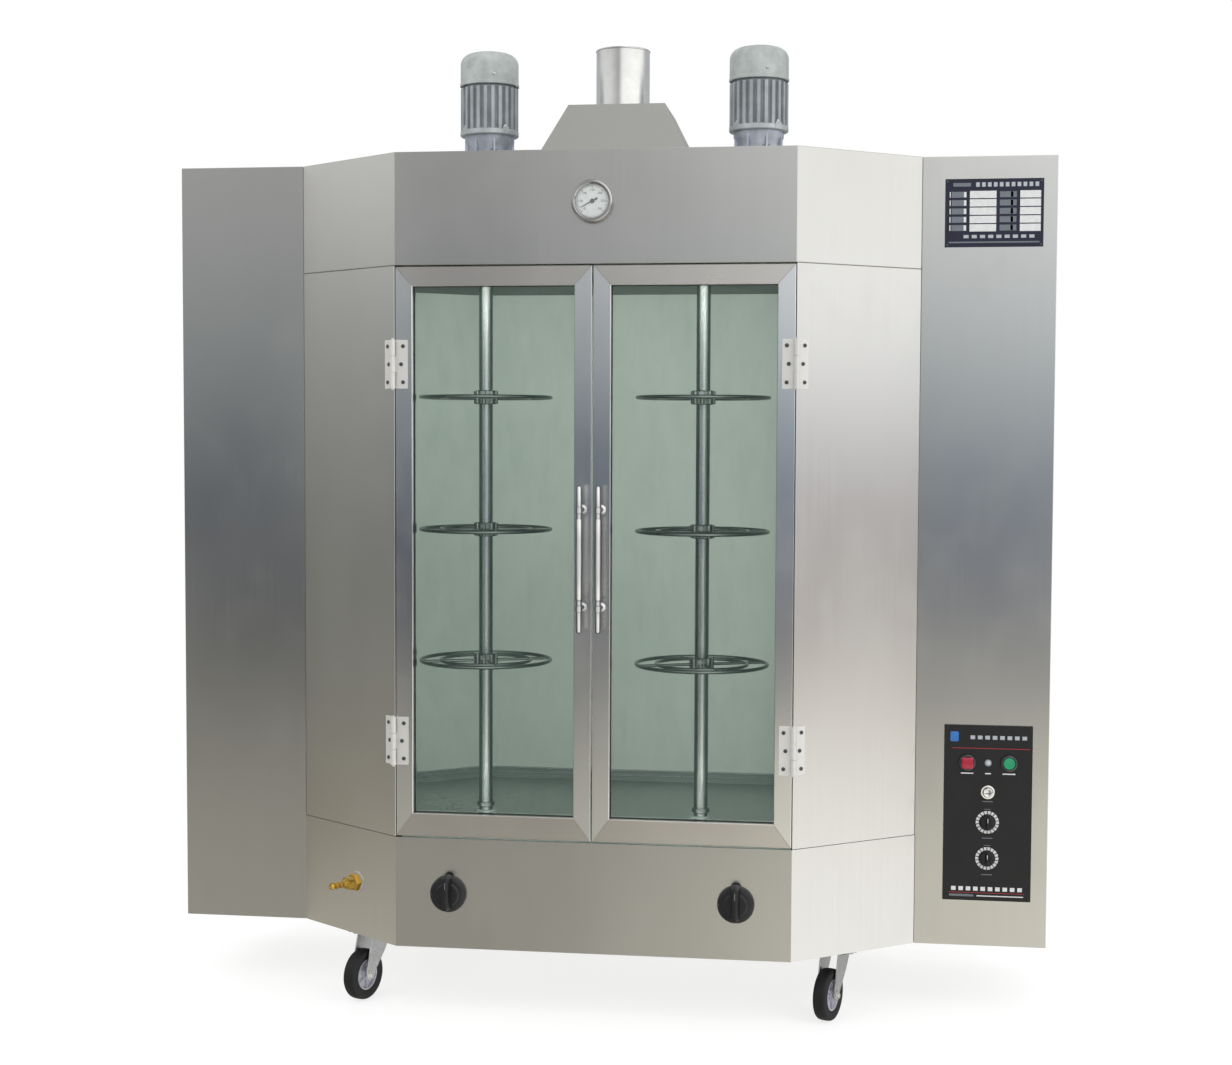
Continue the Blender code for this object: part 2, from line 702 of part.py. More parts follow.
def hinge_leaf(name, side, width_sign):
    """A leaf plate beside the hinge line, made with the line at the origin."""
    near = KNUCKLE_REACH - GAP
    outward = side * width_sign
    ends = (outward * KNUCKLE_RADIUS / 4, outward * LEAF_WIDTH)
    heights = (-HINGE_HEIGHT / 2, HINGE_HEIGHT / 2)
    return box(name, ends, (near - LEAF_THICKNESS, near), heights)


def build_cabinet_leaf(side, name, height):
    """The hinge half on the cabin: leaf, end knuckles and pin."""
    third = HINGE_HEIGHT / 6
    leaf = hinge_leaf(name, side, 1)
    knuckle = cylinder("knuckle", KNUCKLE_RADIUS, -HINGE_HEIGHT / 2, HINGE_HEIGHT / 2, COARSE)
    join(leaf, knuckle)
    cut(leaf, cylinder("room", KNUCKLE_REACH + KNUCKLE_ROOM, -third - GAP, third + GAP, COARSE))
    pin_end = HINGE_HEIGHT / 2 + 0.003
    join(leaf, cylinder("pin", PIN_RADIUS, -pin_end, pin_end, COARSE))
    spin(leaf, side * PANEL_ANGLE)
    centre = (*hinge_axis(side), height)
    finish(shift(leaf, *centre), centre, BRIGHT, roughness=0.3)


def build_door_leaf(side, name, height):
    """The hinge half on the door: leaf and middle knuckle."""
    third = HINGE_HEIGHT / 6
    leaf = hinge_leaf(name, side, -1)
    for low, high in ((-HINGE_HEIGHT, -third), (third, HINGE_HEIGHT)):
        cut(leaf, cylinder("room", KNUCKLE_REACH + KNUCKLE_ROOM, low, high, COARSE))
    join(leaf, cylinder("knuckle", KNUCKLE_RADIUS, GAP - third, third - GAP, COARSE))
    cut(leaf, cylinder("bore", PIN_RADIUS + GAP, -third - GAP, third + GAP, COARSE))
    centre = (*hinge_axis(side), height)
    finish(shift(leaf, *centre), centre, BRIGHT, roughness=0.3)


# ---------- Fittings on the front ----------
def build_burner_knob(side, name):
    """A turning knob with a grip ridge and a stem through the base."""
    stem = KNOB_STEM_RADIUS
    profile = [(0, -0.018), (stem, -0.018), (stem, GAP), (KNOB_RADIUS, GAP)]
    profile += [(KNOB_RADIUS, 0.008), (KNOB_RADIUS - 0.004, 0.013), (0.024, 0.017), (0, 0.017)]
    knob = revolve(name, profile, ROUND)
    ridge = loft("ridge", rectangle(-0.009, 0.009, -0.034, 0.034), 0.010,
                 rectangle(-0.006, 0.006, -0.031, 0.031), 0.036)
    join(knob, ridge)
    centre = (side * KNOB_X, 0, BASE_MIDDLE_Z)
    finish(shift(face_front(knob), *centre), centre, DARK, 0.0, 0.2)


def build_gas_inlet():
    """The brass hose tail, its body, nut and steel washer on the left angled panel."""
    shank = SHANK_RADIUS
    profile = [(0, -0.015), (shank, -0.015), (shank, GAP), (0.022, GAP), (0.022, 0.004)]
    profile += [(0.010, 0.004), (0.010, 0.034), (0.006, 0.036), (0.0075, 0.043), (0.006, 0.045)]
    profile += [(0.0075, 0.052), (0.006, 0.054), (0.0075, 0.061), (0.006, 0.063), (0.006, 0.074)]
    profile += [(0.004, 0.074), (0.004, 0.040), (0, 0.040)]
    inlet = revolve("gas_inlet", profile, COARSE)
    join(inlet, prism("nut", circle(0.019, 6), 0.0055, 0.017))
    join(inlet, box("body", (-0.0115, 0.0115), (-0.012, 0.012), (0.016, 0.033)))
    x, y = on_left_panel(INLET_SHARE)
    spin(face_front(inlet), -PANEL_ANGLE)
    centre = (x, y, BASE_MIDDLE_Z)
    finish(shift(inlet, *centre), centre, (0.72, 0.48, 0.12), roughness=0.3)


def build_gauge():
    """The thermometer: a case with bezel and dial, and a turning needle."""
    rim = GAUGE_RADIUS
    dial, shoulder, top = 0.010, 0.0145, 0.019
    profile = [(0, -0.030), (SHANK_RADIUS, -0.030), (SHANK_RADIUS, GAP), (rim - 0.002, GAP)]
    profile.append((rim, 0.004))
    profile += [(rim, top - 0.003), (rim - 0.003, top), (rim - 0.005, top)]
    profile += [(rim - 0.0056, shoulder), (rim - 0.0056, dial), (0.0018, dial)]
    profile += [(0.0018, dial - 0.005), (0, dial - 0.005)]
    centre = (0, 0, GAUGE_Z)
    case = shift(face_front(revolve("gauge_case", profile, FINE)), *centre)
    finish(case, centre, BRIGHT, roughness=0.15)

    hub = [(0, dial - 0.0045), (0.0015, dial - 0.0045), (0.0015, dial + GAP), (0.0045, dial + GAP)]
    hub += [(0.0045, dial + 0.0018), (0, dial + 0.0018)]
    needle = revolve("gauge_needle", hub, COARSE)
    arm = [(-0.0018, -0.012), (0.0018, -0.012), (0.0006, 0.027), (-0.0006, 0.027)]
    join(needle, prism("arm", arm, dial + 2 * GAP, dial + 0.0015))
    spin(needle, math.radians(118))
    finish(shift(face_front(needle), *centre), centre, DARK, 0.0, 0.4)


def panel_centre():
    """The middle of the control panel, on the face of the right service box."""
    return HALF_CABIN + GAP + SIDE_BOX_WIDTH / 2 + PANEL_X_SHIFT, PANEL_Z


def panel_slab(name, inset, y_low, y_high):
    """A slab with the control panel's outline, moved inward by an inset."""
    x, z = panel_centre()
    half_width, half_height = PANEL_WIDTH / 2 - inset, PANEL_HEIGHT / 2 - inset
    ends = (x - half_width, x + half_width)
    return box(name, ends, (y_low, y_high), (z - half_height, z + half_height))


def control_places():
    """Name, x, z and radius of each device on the control panel."""
    x, middle = panel_centre()
    places = {
        "stop_button": (x - BUTTON_STEP, middle + BUTTON_RISE, BUTTON_RADIUS),
        "start_button": (x + BUTTON_STEP, middle + BUTTON_RISE, BUTTON_RADIUS),
        "power_lamp": (x, middle + BUTTON_RISE, LAMP_RADIUS),
        "lamp_switch": (x, middle + SWITCH_RISE, SWITCH_RADIUS),
    }
    for name, rise in DIAL_RISES.items():
        places[f"{name}_dial"] = (x, middle + rise, DIAL_STEM_RADIUS)
    return places


def build_control_panel():
    """The panel plate with a bore for each device and a collar round the push buttons."""
    face = CORNER_DEPTH - GAP - SHEET
    panel = panel_slab("control_panel", 0, face, CORNER_DEPTH - GAP)
    for name, (x, z, radius) in control_places().items():
        if radius == BUTTON_RADIUS:
            collar = cylinder("collar", radius + COLLAR_WALL, -0.001, 0.004, ROUND)
            join(panel, shift(face_front(collar), x, face, z))
        sides = COARSE if radius < BUTTON_RADIUS else ROUND
        bore = cylinder("bore", radius + GAP, -0.010, 0.010, sides)
        cut(panel, shift(face_front(bore), x, face, z))
    finish(panel, (panel_centre()[0], face, PANEL_Z), DARK, 0.0, 0.35)


def place_on_panel(obj, name, colour, metallic, roughness):
    """Turns a device made about +Z to the front and seats it in its bore."""
    x, z, _ = control_places()[name]
    centre = (x, CORNER_DEPTH - GAP - SHEET, z)
    finish(shift(face_front(obj), *centre), centre, colour, metallic, roughness)


def build_push_button(name, colour, high):
    """A push button that slides in its collar, with a flange behind the panel."""
    back = -SHEET - GAP - FLANGE_ROOM
    flange = BUTTON_RADIUS + FLANGE_OVERLAP
    profile = [(0, back - 0.004), (flange, back - 0.004), (flange, back)]
    profile += [(BUTTON_RADIUS, back), (BUTTON_RADIUS, high - 0.002)]
    profile += [(BUTTON_RADIUS - 0.003, high), (0, high)]
    place_on_panel(revolve(name, profile, ROUND), name, colour, 0.0, 0.3)


def build_lamp():
    rim = LAMP_RADIUS
    profile = [(0, -0.010), (rim, -0.010), (rim, 0.002), (rim - 0.002, 0.005), (0, 0.006)]
    lamp = revolve("power_lamp", profile, COARSE)
    place_on_panel(lamp, "power_lamp", (0.9, 0.9, 0.85), 0.0, 0.2)


def build_lamp_switch():
    """The small bright push switch under the lamp."""
    back = -SHEET - GAP
    rim, flange = SWITCH_RADIUS, SWITCH_RADIUS + FLANGE_OVERLAP
    profile = [(0, back - 0.006), (flange, back - 0.006), (flange, back), (rim, back)]
    profile += [(rim, 0.008), (rim - 0.002, 0.010), (0, 0.010)]
    place_on_panel(revolve("lamp_switch", profile, COARSE), "lamp_switch", BRIGHT, 1.0, 0.3)


def build_dial(name):
    """A turning dial with a ridge for the fingers and a stem through the panel."""
    stem = DIAL_STEM_RADIUS
    profile = [(0, -0.014), (stem, -0.014), (stem, GAP), (0.0165, GAP), (0.0165, 0.004)]
    profile += [(0.014, 0.006), (0.013, 0.010), (0, 0.010)]
    dial = revolve(name, profile, ROUND)
    join(dial, box("ridge", (-0.0028, 0.0028), (-0.0125, 0.0125), (0.008, 0.019)))
    place_on_panel(dial, name, DARK, 0.0, 0.3)


def build_rating_plate():
    """The blank data plate near the top of the right service box."""
    x = HALF_CABIN + GAP + SIDE_BOX_WIDTH / 2 + PLATE_X_SHIFT
    ends = (x - PLATE_WIDTH / 2, x + PLATE_WIDTH / 2)
    heights = (PLATE_Z - PLATE_HEIGHT / 2, PLATE_Z + PLATE_HEIGHT / 2)
    plate = box("rating_plate", ends, (CORNER_DEPTH - GAP - 0.0015, CORNER_DEPTH - GAP), heights)
    finish(plate, (x, CORNER_DEPTH, PLATE_Z), (0.05, 0.06, 0.12), 0.2, 0.4)


# ---------- Casters ----------
def build_fork(name, x, y, turn):
    """A caster fork: top plate on the base's pin, two cheeks and the wheel's axle."""
    top = FORK_TOP
    axle_z = WHEEL_RADIUS - CASTER_HEIGHT
    gap_half = WHEEL_WIDTH / 2 + WHEEL_ROOM
    cheek_half = gap_half + CHEEK
    plate = rectangle(-cheek_half, cheek_half, -0.027, 0.027)
    fork = prism(name, plate, FORK_UNDER, top)
    reach = -CASTER_TRAIL
    cheek = [(0.027, top), (-0.027, top), (reach - 0.014, axle_z + 0.006)]
    cheek += [(reach - 0.010, axle_z - 0.011), (reach + 0.010, axle_z - 0.011), (0.027, -0.034)]
    for low, high in ((-cheek_half, -gap_half), (gap_half, cheek_half)):
        side = prism("cheek", cheek, low, high)
        side.data.transform(Matrix(((0, 0, 1, 0), (1, 0, 0, 0), (0, 1, 0, 0), (0, 0, 0, 1))))
        join(fork, side)
    end = cheek_half + 0.004
    axle = spin(cylinder("axle", AXLE_RADIUS, -end, end, COARSE), math.pi / 2, "Y")
    join(fork, shift(axle, 0, reach, axle_z))
    cut(fork, cylinder("bore", PIN_NECK + GAP, FORK_UNDER - CUT_MARGIN, top + CUT_MARGIN, COARSE))
    spin(fork, turn)
    finish(shift(fork, x, y), (x, y, top), BRIGHT, roughness=0.35)


def build_wheel(name, x, y, turn):
    """A caster wheel: hub, web and solid tyre."""
    half = WHEEL_WIDTH / 2
    rim = WHEEL_RADIUS
    bore, web = AXLE_RADIUS + GAP, half - 0.007
    right = [(bore, half), (0.017, half), (0.018, web), (rim - 0.015, web)]
    right += [(rim - 0.014, half), (rim - 0.004, half), (rim, half - 0.006)]
    left = [(radius, -height) for radius, height in reversed(right)]
    wheel = spin(revolve(name, right + left, ROUND, closed=True), math.pi / 2, "Y")
    spin(shift(wheel, 0, -CASTER_TRAIL), turn)
    axle_z = WHEEL_RADIUS - CASTER_HEIGHT
    trail = Matrix.Rotation(turn, 3, "Z") @ Vector((0, -CASTER_TRAIL, 0))
    origin = (x + trail.x, y + trail.y, axle_z)
    finish(shift(wheel, x, y, axle_z), origin, DARK, 0.0, 0.7)


# ---------- The whole oven ----------
def build_pair(side, word):
    """Everything that comes once on the left and once on the right."""
    build_side_box(side, f"{word}_side_box")
    build_motor(side, f"{word}_motor")
    build_cowl(side, f"{word}_motor_cowl")
    build_chain_case(side, f"{word}_chain_case")
    build_spit(side, f"{word}_spit")
    for i, level in enumerate(("top", "middle", "bottom")):
        height = FASCIA_LOW - TOP_CARRIER_DROP - i * CARRIER_SPACING
        build_carrier(side, f"{word}_{level}_carrier", height)
    build_door(side, f"{word}_door_frame")
    build_glass(side, f"{word}_door_glass")
    build_handle(side, f"{word}_door_handle")
    for level, height in hinge_heights().items():
        build_cabinet_leaf(side, f"{word}_{level}_hinge_cabin", height)
        build_door_leaf(side, f"{word}_{level}_hinge_door", height)
    build_burner(side, f"{word}_burner")
    build_burner_knob(side, f"{word}_burner_knob")


def build():
    for obj in list(bpy.data.objects):
        bpy.data.objects.remove(obj)
    build_base()
    build_wall()
    build_roof()
    build_ceiling()
    build_tray()
    build_hood()
    build_flue()
    for side, word in ((-1, "left"), (1, "right")):
        build_pair(side, word)
    build_gas_inlet()
    build_gauge()
    build_control_panel()
    build_push_button("stop_button", (0.55, 0.02, 0.03), 0.010)
    build_push_button("start_button", (0.02, 0.40, 0.14), 0.006)
    build_lamp()
    build_lamp_switch()
    for name in DIAL_RISES:
        build_dial(f"{name}_dial")
    build_rating_plate()
    for name, (x, y) in caster_places().items():
        build_fork(f"{name}_caster_fork", x, y, CASTER_TURNS[name])
        build_wheel(f"{name}_caster_wheel", x, y, CASTER_TURNS[name])


build()
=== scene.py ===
import json
import math

import bmesh
import bpy
from mathutils import Matrix, Vector


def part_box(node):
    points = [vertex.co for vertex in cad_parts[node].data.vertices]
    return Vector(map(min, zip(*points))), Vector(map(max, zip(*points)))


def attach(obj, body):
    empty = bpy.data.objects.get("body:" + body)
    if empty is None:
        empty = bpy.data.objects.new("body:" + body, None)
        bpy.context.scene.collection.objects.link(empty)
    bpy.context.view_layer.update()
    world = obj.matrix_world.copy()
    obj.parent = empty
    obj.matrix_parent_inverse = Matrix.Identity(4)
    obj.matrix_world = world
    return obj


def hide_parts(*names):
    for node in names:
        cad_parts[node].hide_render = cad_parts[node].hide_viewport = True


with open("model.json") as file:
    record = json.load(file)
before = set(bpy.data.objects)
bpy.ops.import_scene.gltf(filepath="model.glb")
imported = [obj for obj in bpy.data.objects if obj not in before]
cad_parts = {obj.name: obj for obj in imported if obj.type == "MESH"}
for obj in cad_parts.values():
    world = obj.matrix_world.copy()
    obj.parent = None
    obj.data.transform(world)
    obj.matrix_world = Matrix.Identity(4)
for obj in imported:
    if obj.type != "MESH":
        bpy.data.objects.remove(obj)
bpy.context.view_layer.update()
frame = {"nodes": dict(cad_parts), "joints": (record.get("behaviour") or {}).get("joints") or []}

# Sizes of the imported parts, in metres.
SHEET = 0.003
GAP = 0.0003
DOOR_GAP = 0.003
WALL = 0.03
CORNER_DEPTH = 0.186
LEAF = 0.0025
# The control panel's face stands this far in front of the data plate's.
PANEL_STEP = 0.0015
# How far along the left angled panel the gas inlet stands, from its front edge.
INLET_SHARE = 0.41
# Details that only this script has.
LINING = 0.0012
# Height of the dark skirting strip that paints the shade at the foot of the lining.
SHADE_SKIRTING = 0.028
DIAL_MARKS = 18

JOINTS = {joint["name"]: joint for joint in frame["joints"]}
ROOF_LOW, ROOF_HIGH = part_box("roof_fascia")
DOOR_LOW, DOOR_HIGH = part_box("right_door_frame")
FRONT_Y = ROOF_LOW.y
BACK_Y = ROOF_HIGH.y
HALF_CABIN = ROOF_HIGH.x
HALF_FRONT = DOOR_HIGH.x + DOOR_GAP / 2
PANEL_ANGLE = math.atan2(CORNER_DEPTH, HALF_CABIN - HALF_FRONT)
SIDE_ANGLE = math.pi / 2 - PANEL_ANGLE
PANEL_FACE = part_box("rating_plate")[0].y - PANEL_STEP


def middle(name):
    """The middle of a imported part."""
    low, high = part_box(name)
    return (low + high) / 2


# ---------- Gathering geometry ----------
def at(x, y, z):
    return Matrix.Translation((x, y, z))


def turned(degrees, axis="Z"):
    return Matrix.Rotation(math.radians(degrees), 4, axis)


def front(x, y, z):
    """A place whose +Z points to the front of the oven, and whose +Y points up."""
    return at(x, y, z) @ turned(90, "X")


def circle(radius, sides, phase=0.0):
    angles = [phase + 2 * math.pi * i / sides for i in range(sides)]
    return [(radius * math.cos(t), radius * math.sin(t)) for t in angles]


def rectangle(width, height):
    w, h = width / 2, height / 2
    return [(-w, -h), (w, -h), (w, h), (-w, h)]


def rounded(width, height, radius, steps=5):
    """A rectangle with round corners."""
    outline = []
    for turn, sx, sy in ((0, 1, 1), (1, -1, 1), (2, -1, -1), (3, 1, -1)):
        x, y = sx * (width / 2 - radius), sy * (height / 2 - radius)
        for i in range(steps + 1):
            t = (turn + i / steps) * math.pi / 2
            outline.append((x + radius * math.cos(t), y + radius * math.sin(t)))
    return outline


class Shape:
    """Closed shells of one piece, with a material number for each face."""

    def __init__(self):
        self.points, self.faces, self.looks = [], [], []

    def add(self, points, faces, place=Matrix(), look=0):
        first = len(self.points)
        self.points += [place @ Vector(p) for p in points]
        self.faces += [[first + i for i in face] for face in faces]
        self.looks += [look] * len(faces)
        return self

    def loft(self, rows, place=Matrix(), look=0, closed=False):
        """A skin through rows of points that have the same number of points each."""
        count = len(rows[0])
        points = [p for row in rows for p in row]
        faces = []
        for r in range(len(rows) if closed else len(rows) - 1):
            a, b = r * count, (r + 1) % len(rows) * count
            for i in range(count):
                j = (i + 1) % count
                faces.append([a + i, a + j, b + j, b + i])
        if not closed:
            faces.append(list(range(count))[::-1])
            faces.append(list(range(len(points) - count, len(points))))
        return self.add(points, faces, place, look)

    def prism(self, outline, low, high, place=Matrix(), look=0, top=None):
        top = top or outline
        rows = [[(x, y, low) for x, y in outline], [(x, y, high) for x, y in top]]
        return self.loft(rows, place, look)

    def box(self, x, y, z, place=Matrix(), look=0):
        """A box between pairs of ends."""
        outline = [(min(x), min(y)), (max(x), min(y)), (max(x), max(y)), (min(x), max(y))]
        return self.prism(outline, min(z), max(z), place, look)

    def turn(self, profile, sides=48, place=Matrix(), look=0, closed=False):
        """A round shell about +Z from (radius, height) pairs. An open one ends on the axis."""
        points, rows, faces = [], [], []
        for radius, height in profile:
            first = len(points)
            if radius == 0:
                points.append((0, 0, height))
            else:
                points += [(x, y, height) for x, y in circle(radius, sides)]
            rows.append(range(first, len(points)))
        pairs = list(zip(rows, rows[1:])) + ([(rows[-1], rows[0])] if closed else [])
        for low, high in pairs:
            for i in range(sides):
                j = (i + 1) % sides
                a, b = low[i % len(low)], low[j % len(low)]
                c, d = high[j % len(high)], high[i % len(high)]
                ring = list(dict.fromkeys((a, b, c, d)))
                if len(ring) > 2:
                    faces.append(ring)
        return self.add(points, faces, place, look)

    def rod(self, radius, low, high, sides=24, place=Matrix(), look=0, edge=0.0):
        """A round bar along +Z, with chamfered ends."""
        profile = [(0, low), (radius - edge, low)] + ([(radius, low + edge)] if edge else [])
        profile += ([(radius, high - edge)] if edge else []) + [(radius - edge, high), (0, high)]
        return self.turn(profile, sides, place, look)

    def ring(self, radius, thickness, sides=96, section=12, place=Matrix(), look=0):
        profile = [(radius + x, y) for x, y in circle(thickness, section)]
        return self.turn(profile, sides, place, look, closed=True)

    def hexagon(self, across, low, high, place=Matrix(), look=0):
        """A hexagon head with chamfered corners."""
        r = across / math.sqrt(3)
        edge = (high - low) * 0.18
        rows = [[(x, y, low) for x, y in circle(r, 6)], [(x, y, high - edge) for x, y in circle(r, 6)]]
        rows.append([(x, y, high) for x, y in circle(r * 0.88, 6)])
        return self.loft(rows, place, look)

    def bolt(self, across, height, place=Matrix(), look=0):
        """A hexagon head on its washer."""
        self.turn([(0, 0), (across * 0.95, 0), (across * 0.95, 0.001), (0, 0.001)], 20, place, look)
        return self.hexagon(across, 0.001, height, place, look)

    def screw(self, radius, place=Matrix(), look=0, dark=1):
        """A low domed screw head, whose cross recess is painted shade: two near-black bars."""
        profile = [(0, 0), (radius, 0), (radius * 0.94, radius * 0.28)]
        profile += [(radius * 0.6, radius * 0.48), (0, radius * 0.55)]
        self.turn(profile, 16, place, look)
        top = radius * 0.56
        # Painted shade: two flat bars in the near-black look stand in for the shadow in the cross slot.
        for w, h in ((1.0, 0.24), (0.24, 1.0)):
            self.prism(rectangle(radius * w, radius * h), top - radius * 0.3, top, place, dark)
        return self


def piece(name, body, shape, looks, replaces=(), bevel=0.0, smooth=35):
    """Makes one object of a shape, on its body, with the looks that its faces number."""
    mesh = bpy.data.meshes.new(name)
    mesh.from_pydata(shape.points, [], shape.faces)
    for look in looks:
        mesh.materials.append(LOOKS[look])
    mesh.polygons.foreach_set("material_index", shape.looks)
    skin = bmesh.new()
    skin.from_mesh(mesh)
    bmesh.ops.recalc_face_normals(skin, faces=skin.faces)
    skin.to_mesh(mesh)
    skin.free()
    mesh.shade_smooth()
    mesh.set_sharp_from_angle(angle=math.radians(smooth))
    obj = bpy.data.objects.new(name, mesh)
    bpy.context.scene.collection.objects.link(obj)
    if bevel:
        step = obj.modifiers.new("edges", "BEVEL")
        step.width = bevel
        step.segments = 2
        step.limit_method = "ANGLE"
        step.angle_limit = math.radians(40)
        step.harden_normals = True
    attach(obj, body)
    if replaces:
        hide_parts(*replaces)
    return obj


# ---------- Materials ----------
class Look:
    """A node material under construction. Patterns are in metres on the piece itself."""

    def __init__(self, name, colour, metallic=0.0, roughness=0.4, **sockets):
        self.material = bpy.data.materials.new(name)
        self.material.use_nodes = True
        self.tree = self.material.node_tree
        self.shader = self.tree.nodes["Principled BSDF"]
        self.set("Base Color", (*colour, 1))
        self.set("Metallic", metallic)
        self.set("Roughness", roughness)
        for key, value in sockets.items():
            self.set(key.replace("_", " "), value)
        self.where = self.node("TexCoord").outputs["Object"]
        self.material.diffuse_color = (*colour, 1)

    def node(self, kind, **inputs):
        node = self.tree.nodes.new("ShaderNode" + kind)
        for key, value in inputs.items():
            self.feed(node.inputs[key.replace("_", " ")], value)
        return node

    def feed(self, socket, value):
        if isinstance(value, bpy.types.NodeSocket):
            self.tree.links.new(value, socket)
        else:
            socket.default_value = value

    def set(self, name, value):
        self.feed(self.shader.inputs[name], value)

    def noise(self, stretch, detail=3.0, roughness=0.55):
        """Smooth noise, with this many features per metre along each axis."""
        mapping = self.node("Mapping", Vector=self.where, Scale=stretch)
        texture = self.node("TexNoise", Vector=mapping.outputs[0], Scale=1.0, Detail=detail)
        texture.inputs["Roughness"].default_value = roughness
        return texture.outputs["Fac"]

    def spread(self, value, low, high, start=0.3, end=0.7):
        """Maps a value from start..end to low..high."""
        node = self.node("MapRange", Value=value)
        for key, number in (("From Min", start), ("From Max", end), ("To Min", low), ("To Max", high)):
            node.inputs[key].default_value = number
        return node.outputs["Result"]

    def sum(self, a, b, operation="ADD"):
        node = self.tree.nodes.new("ShaderNodeMath")
        node.operation = operation
        self.feed(node.inputs[0], a)
        self.feed(node.inputs[1], b)
        return node.outputs[0]

    def blend(self, factor, a, b):
        node = self.tree.nodes.new("ShaderNodeMix")
        node.data_type = "RGBA"
        self.feed(node.inputs["Factor"], factor)
        for socket, value in (("A", a), ("B", b)):
            target = [s for s in node.inputs if s.name == socket and s.type == "RGBA"][0]
            self.feed(target, value if isinstance(value, bpy.types.NodeSocket) else (*value, 1))
        return [s for s in node.outputs if s.type == "RGBA"][0]

    def bump(self, height, depth, strength=0.5):
        node = self.node("Bump", Height=height, Strength=strength, Distance=depth)
        self.set("Normal", node.outputs[0])


def scaled(colour, share):
    return tuple(c * share for c in colour)


def brushed(name, colour=(0.66, 0.655, 0.63), grain="z", rough=(0.2, 0.28), aniso=0.4, wear=1.0):
    """Brushed stainless sheet: fine grain lines, faint patches and handling marks."""
    look = Look(name, colour, 1.0)
    fine, long = 420.0, 3.0
    grain_noise = look.noise({"z": (fine, fine, long), "x": (long, fine, fine)}[grain], 2.0)
    streak = look.noise({"z": (140, 140, 0.9), "x": (0.9, 140, 140)}[grain], 2.0)
    patches = look.noise((3.2, 3.2, 2.2), 2.0, 0.45)
    marks = look.noise((14, 14, 10), 2.0, 0.5)
    tone = look.sum(look.spread(grain_noise, -0.12, 0.12), look.spread(streak, -0.1, 0.1))
    tone = look.sum(tone, look.spread(patches, -0.35, 0.35))
    shade = look.blend(look.spread(tone, 0, 1, -0.8, 0.8), scaled(colour, 0.93), scaled(colour, 1.05))
    look.set("Base Color", shade)
    amount = look.sum(look.spread(patches, 0, 0.55), look.spread(grain_noise, 0, 0.15))
    amount = look.sum(amount, look.spread(marks, 0, 0.3 * wear, 0.52, 0.78))
    look.set("Roughness", look.spread(amount, rough[0], rough[1], 0, 1))
    look.set("Anisotropic", aniso)
    if grain == "x":
        look.set("Anisotropic Rotation", 0.25)
    tangent = look.node("Tangent")
    tangent.direction_type = "RADIAL"
    tangent.axis = "Z"
    look.set("Tangent", tangent.outputs[0])
    look.bump(grain_noise, 0.00002, 0.06)
    return look.material


def polished(name, colour=(0.78, 0.78, 0.77), rough=(0.08, 0.18), lines=(300, 300, 4)):
    """Bright turned or drawn steel, with faint drawing lines and finger marks."""
    look = Look(name, colour, 1.0)
    line = look.noise(lines, 2.0)
    smudge = look.noise((24, 24, 24), 4.0, 0.6)
    shade = look.blend(look.spread(smudge, 0, 1), scaled(colour, 0.9), scaled(colour, 1.04))
    look.set("Base Color", shade)
    amount = look.sum(look.spread(line, 0, 0.4), look.spread(smudge, 0, 0.6))
    look.set("Roughness", look.spread(amount, rough[0], rough[1], 0, 1))
    look.bump(line, 0.00005, 0.25)
    return look.material


def painted_sheen(name, colour, edge, rough, metallic=1.0):
    """Drawn bar with a painted reflection: the colour is painted bright where it faces the eye and
    painted dark toward its edges, with faint smudges.
    """
    look = Look(name, colour, metallic)
    smudge = look.noise((24, 24, 9), 3.0, 0.6)
    # Painted reflection and shade: the colour runs from the bright colour where the surface faces the
    # eye to the dark edge colour at its rims.
    facing_sheen = look.node("LayerWeight", Blend=0.5).outputs["Facing"]
    share = look.sum(look.spread(facing_sheen, 0, 1, 0.03, 0.24), look.spread(smudge, -0.06, 0.06))
    look.set("Base Color", look.blend(look.spread(share, 0, 1, 0, 1), colour, edge))
    look.set("Roughness", look.spread(smudge, rough[0], rough[1]))
    return look.material


def cast(name, colour, rough=(0.38, 0.52), metallic=0.0, grit=420.0, coat=0.0):
    """Paint or moulding over a slightly uneven surface, with rubbed lighter patches."""
    look = Look(name, colour, metallic)
    fine = look.noise((grit, grit, grit), 2.0)
    patch = look.noise((30, 30, 22), 5.0, 0.62)
    rubbed = look.spread(patch, 0, 1, 0.42, 0.66)
    look.set("Base Color", look.blend(rubbed, scaled(colour, 0.86), scaled(colour, 1.12)))
    look.set("Roughness", look.spread(look.sum(fine, patch), rough[0], rough[1], 0.7, 1.3))
    look.set("Coat Weight", coat)
    look.set("Coat Roughness", 0.12)
    look.bump(look.sum(fine, patch), 0.00016, 0.4)
    return look.material


def satin(name, colour, metallic=0.1, rough=(0.42, 0.55)):
    """Smooth coated sheet, with only a slow drift of tone and faint wipe marks."""
    look = Look(name, colour, metallic, 0.5)
    drift = look.noise((1.4, 1.4, 1.1), 1.5)
    wipe = look.noise((14, 14, 60), 3.0, 0.5)
    tone = look.sum(look.spread(drift, 0, 0.8), look.spread(wipe, 0, 0.2))
    look.set("Base Color", look.blend(tone, scaled(colour, 0.95), scaled(colour, 1.04)))
    look.set("Roughness", look.spread(tone, rough[0], rough[1], 0, 1))
    look.bump(wipe, 0.0001, 0.1)
    return look.material


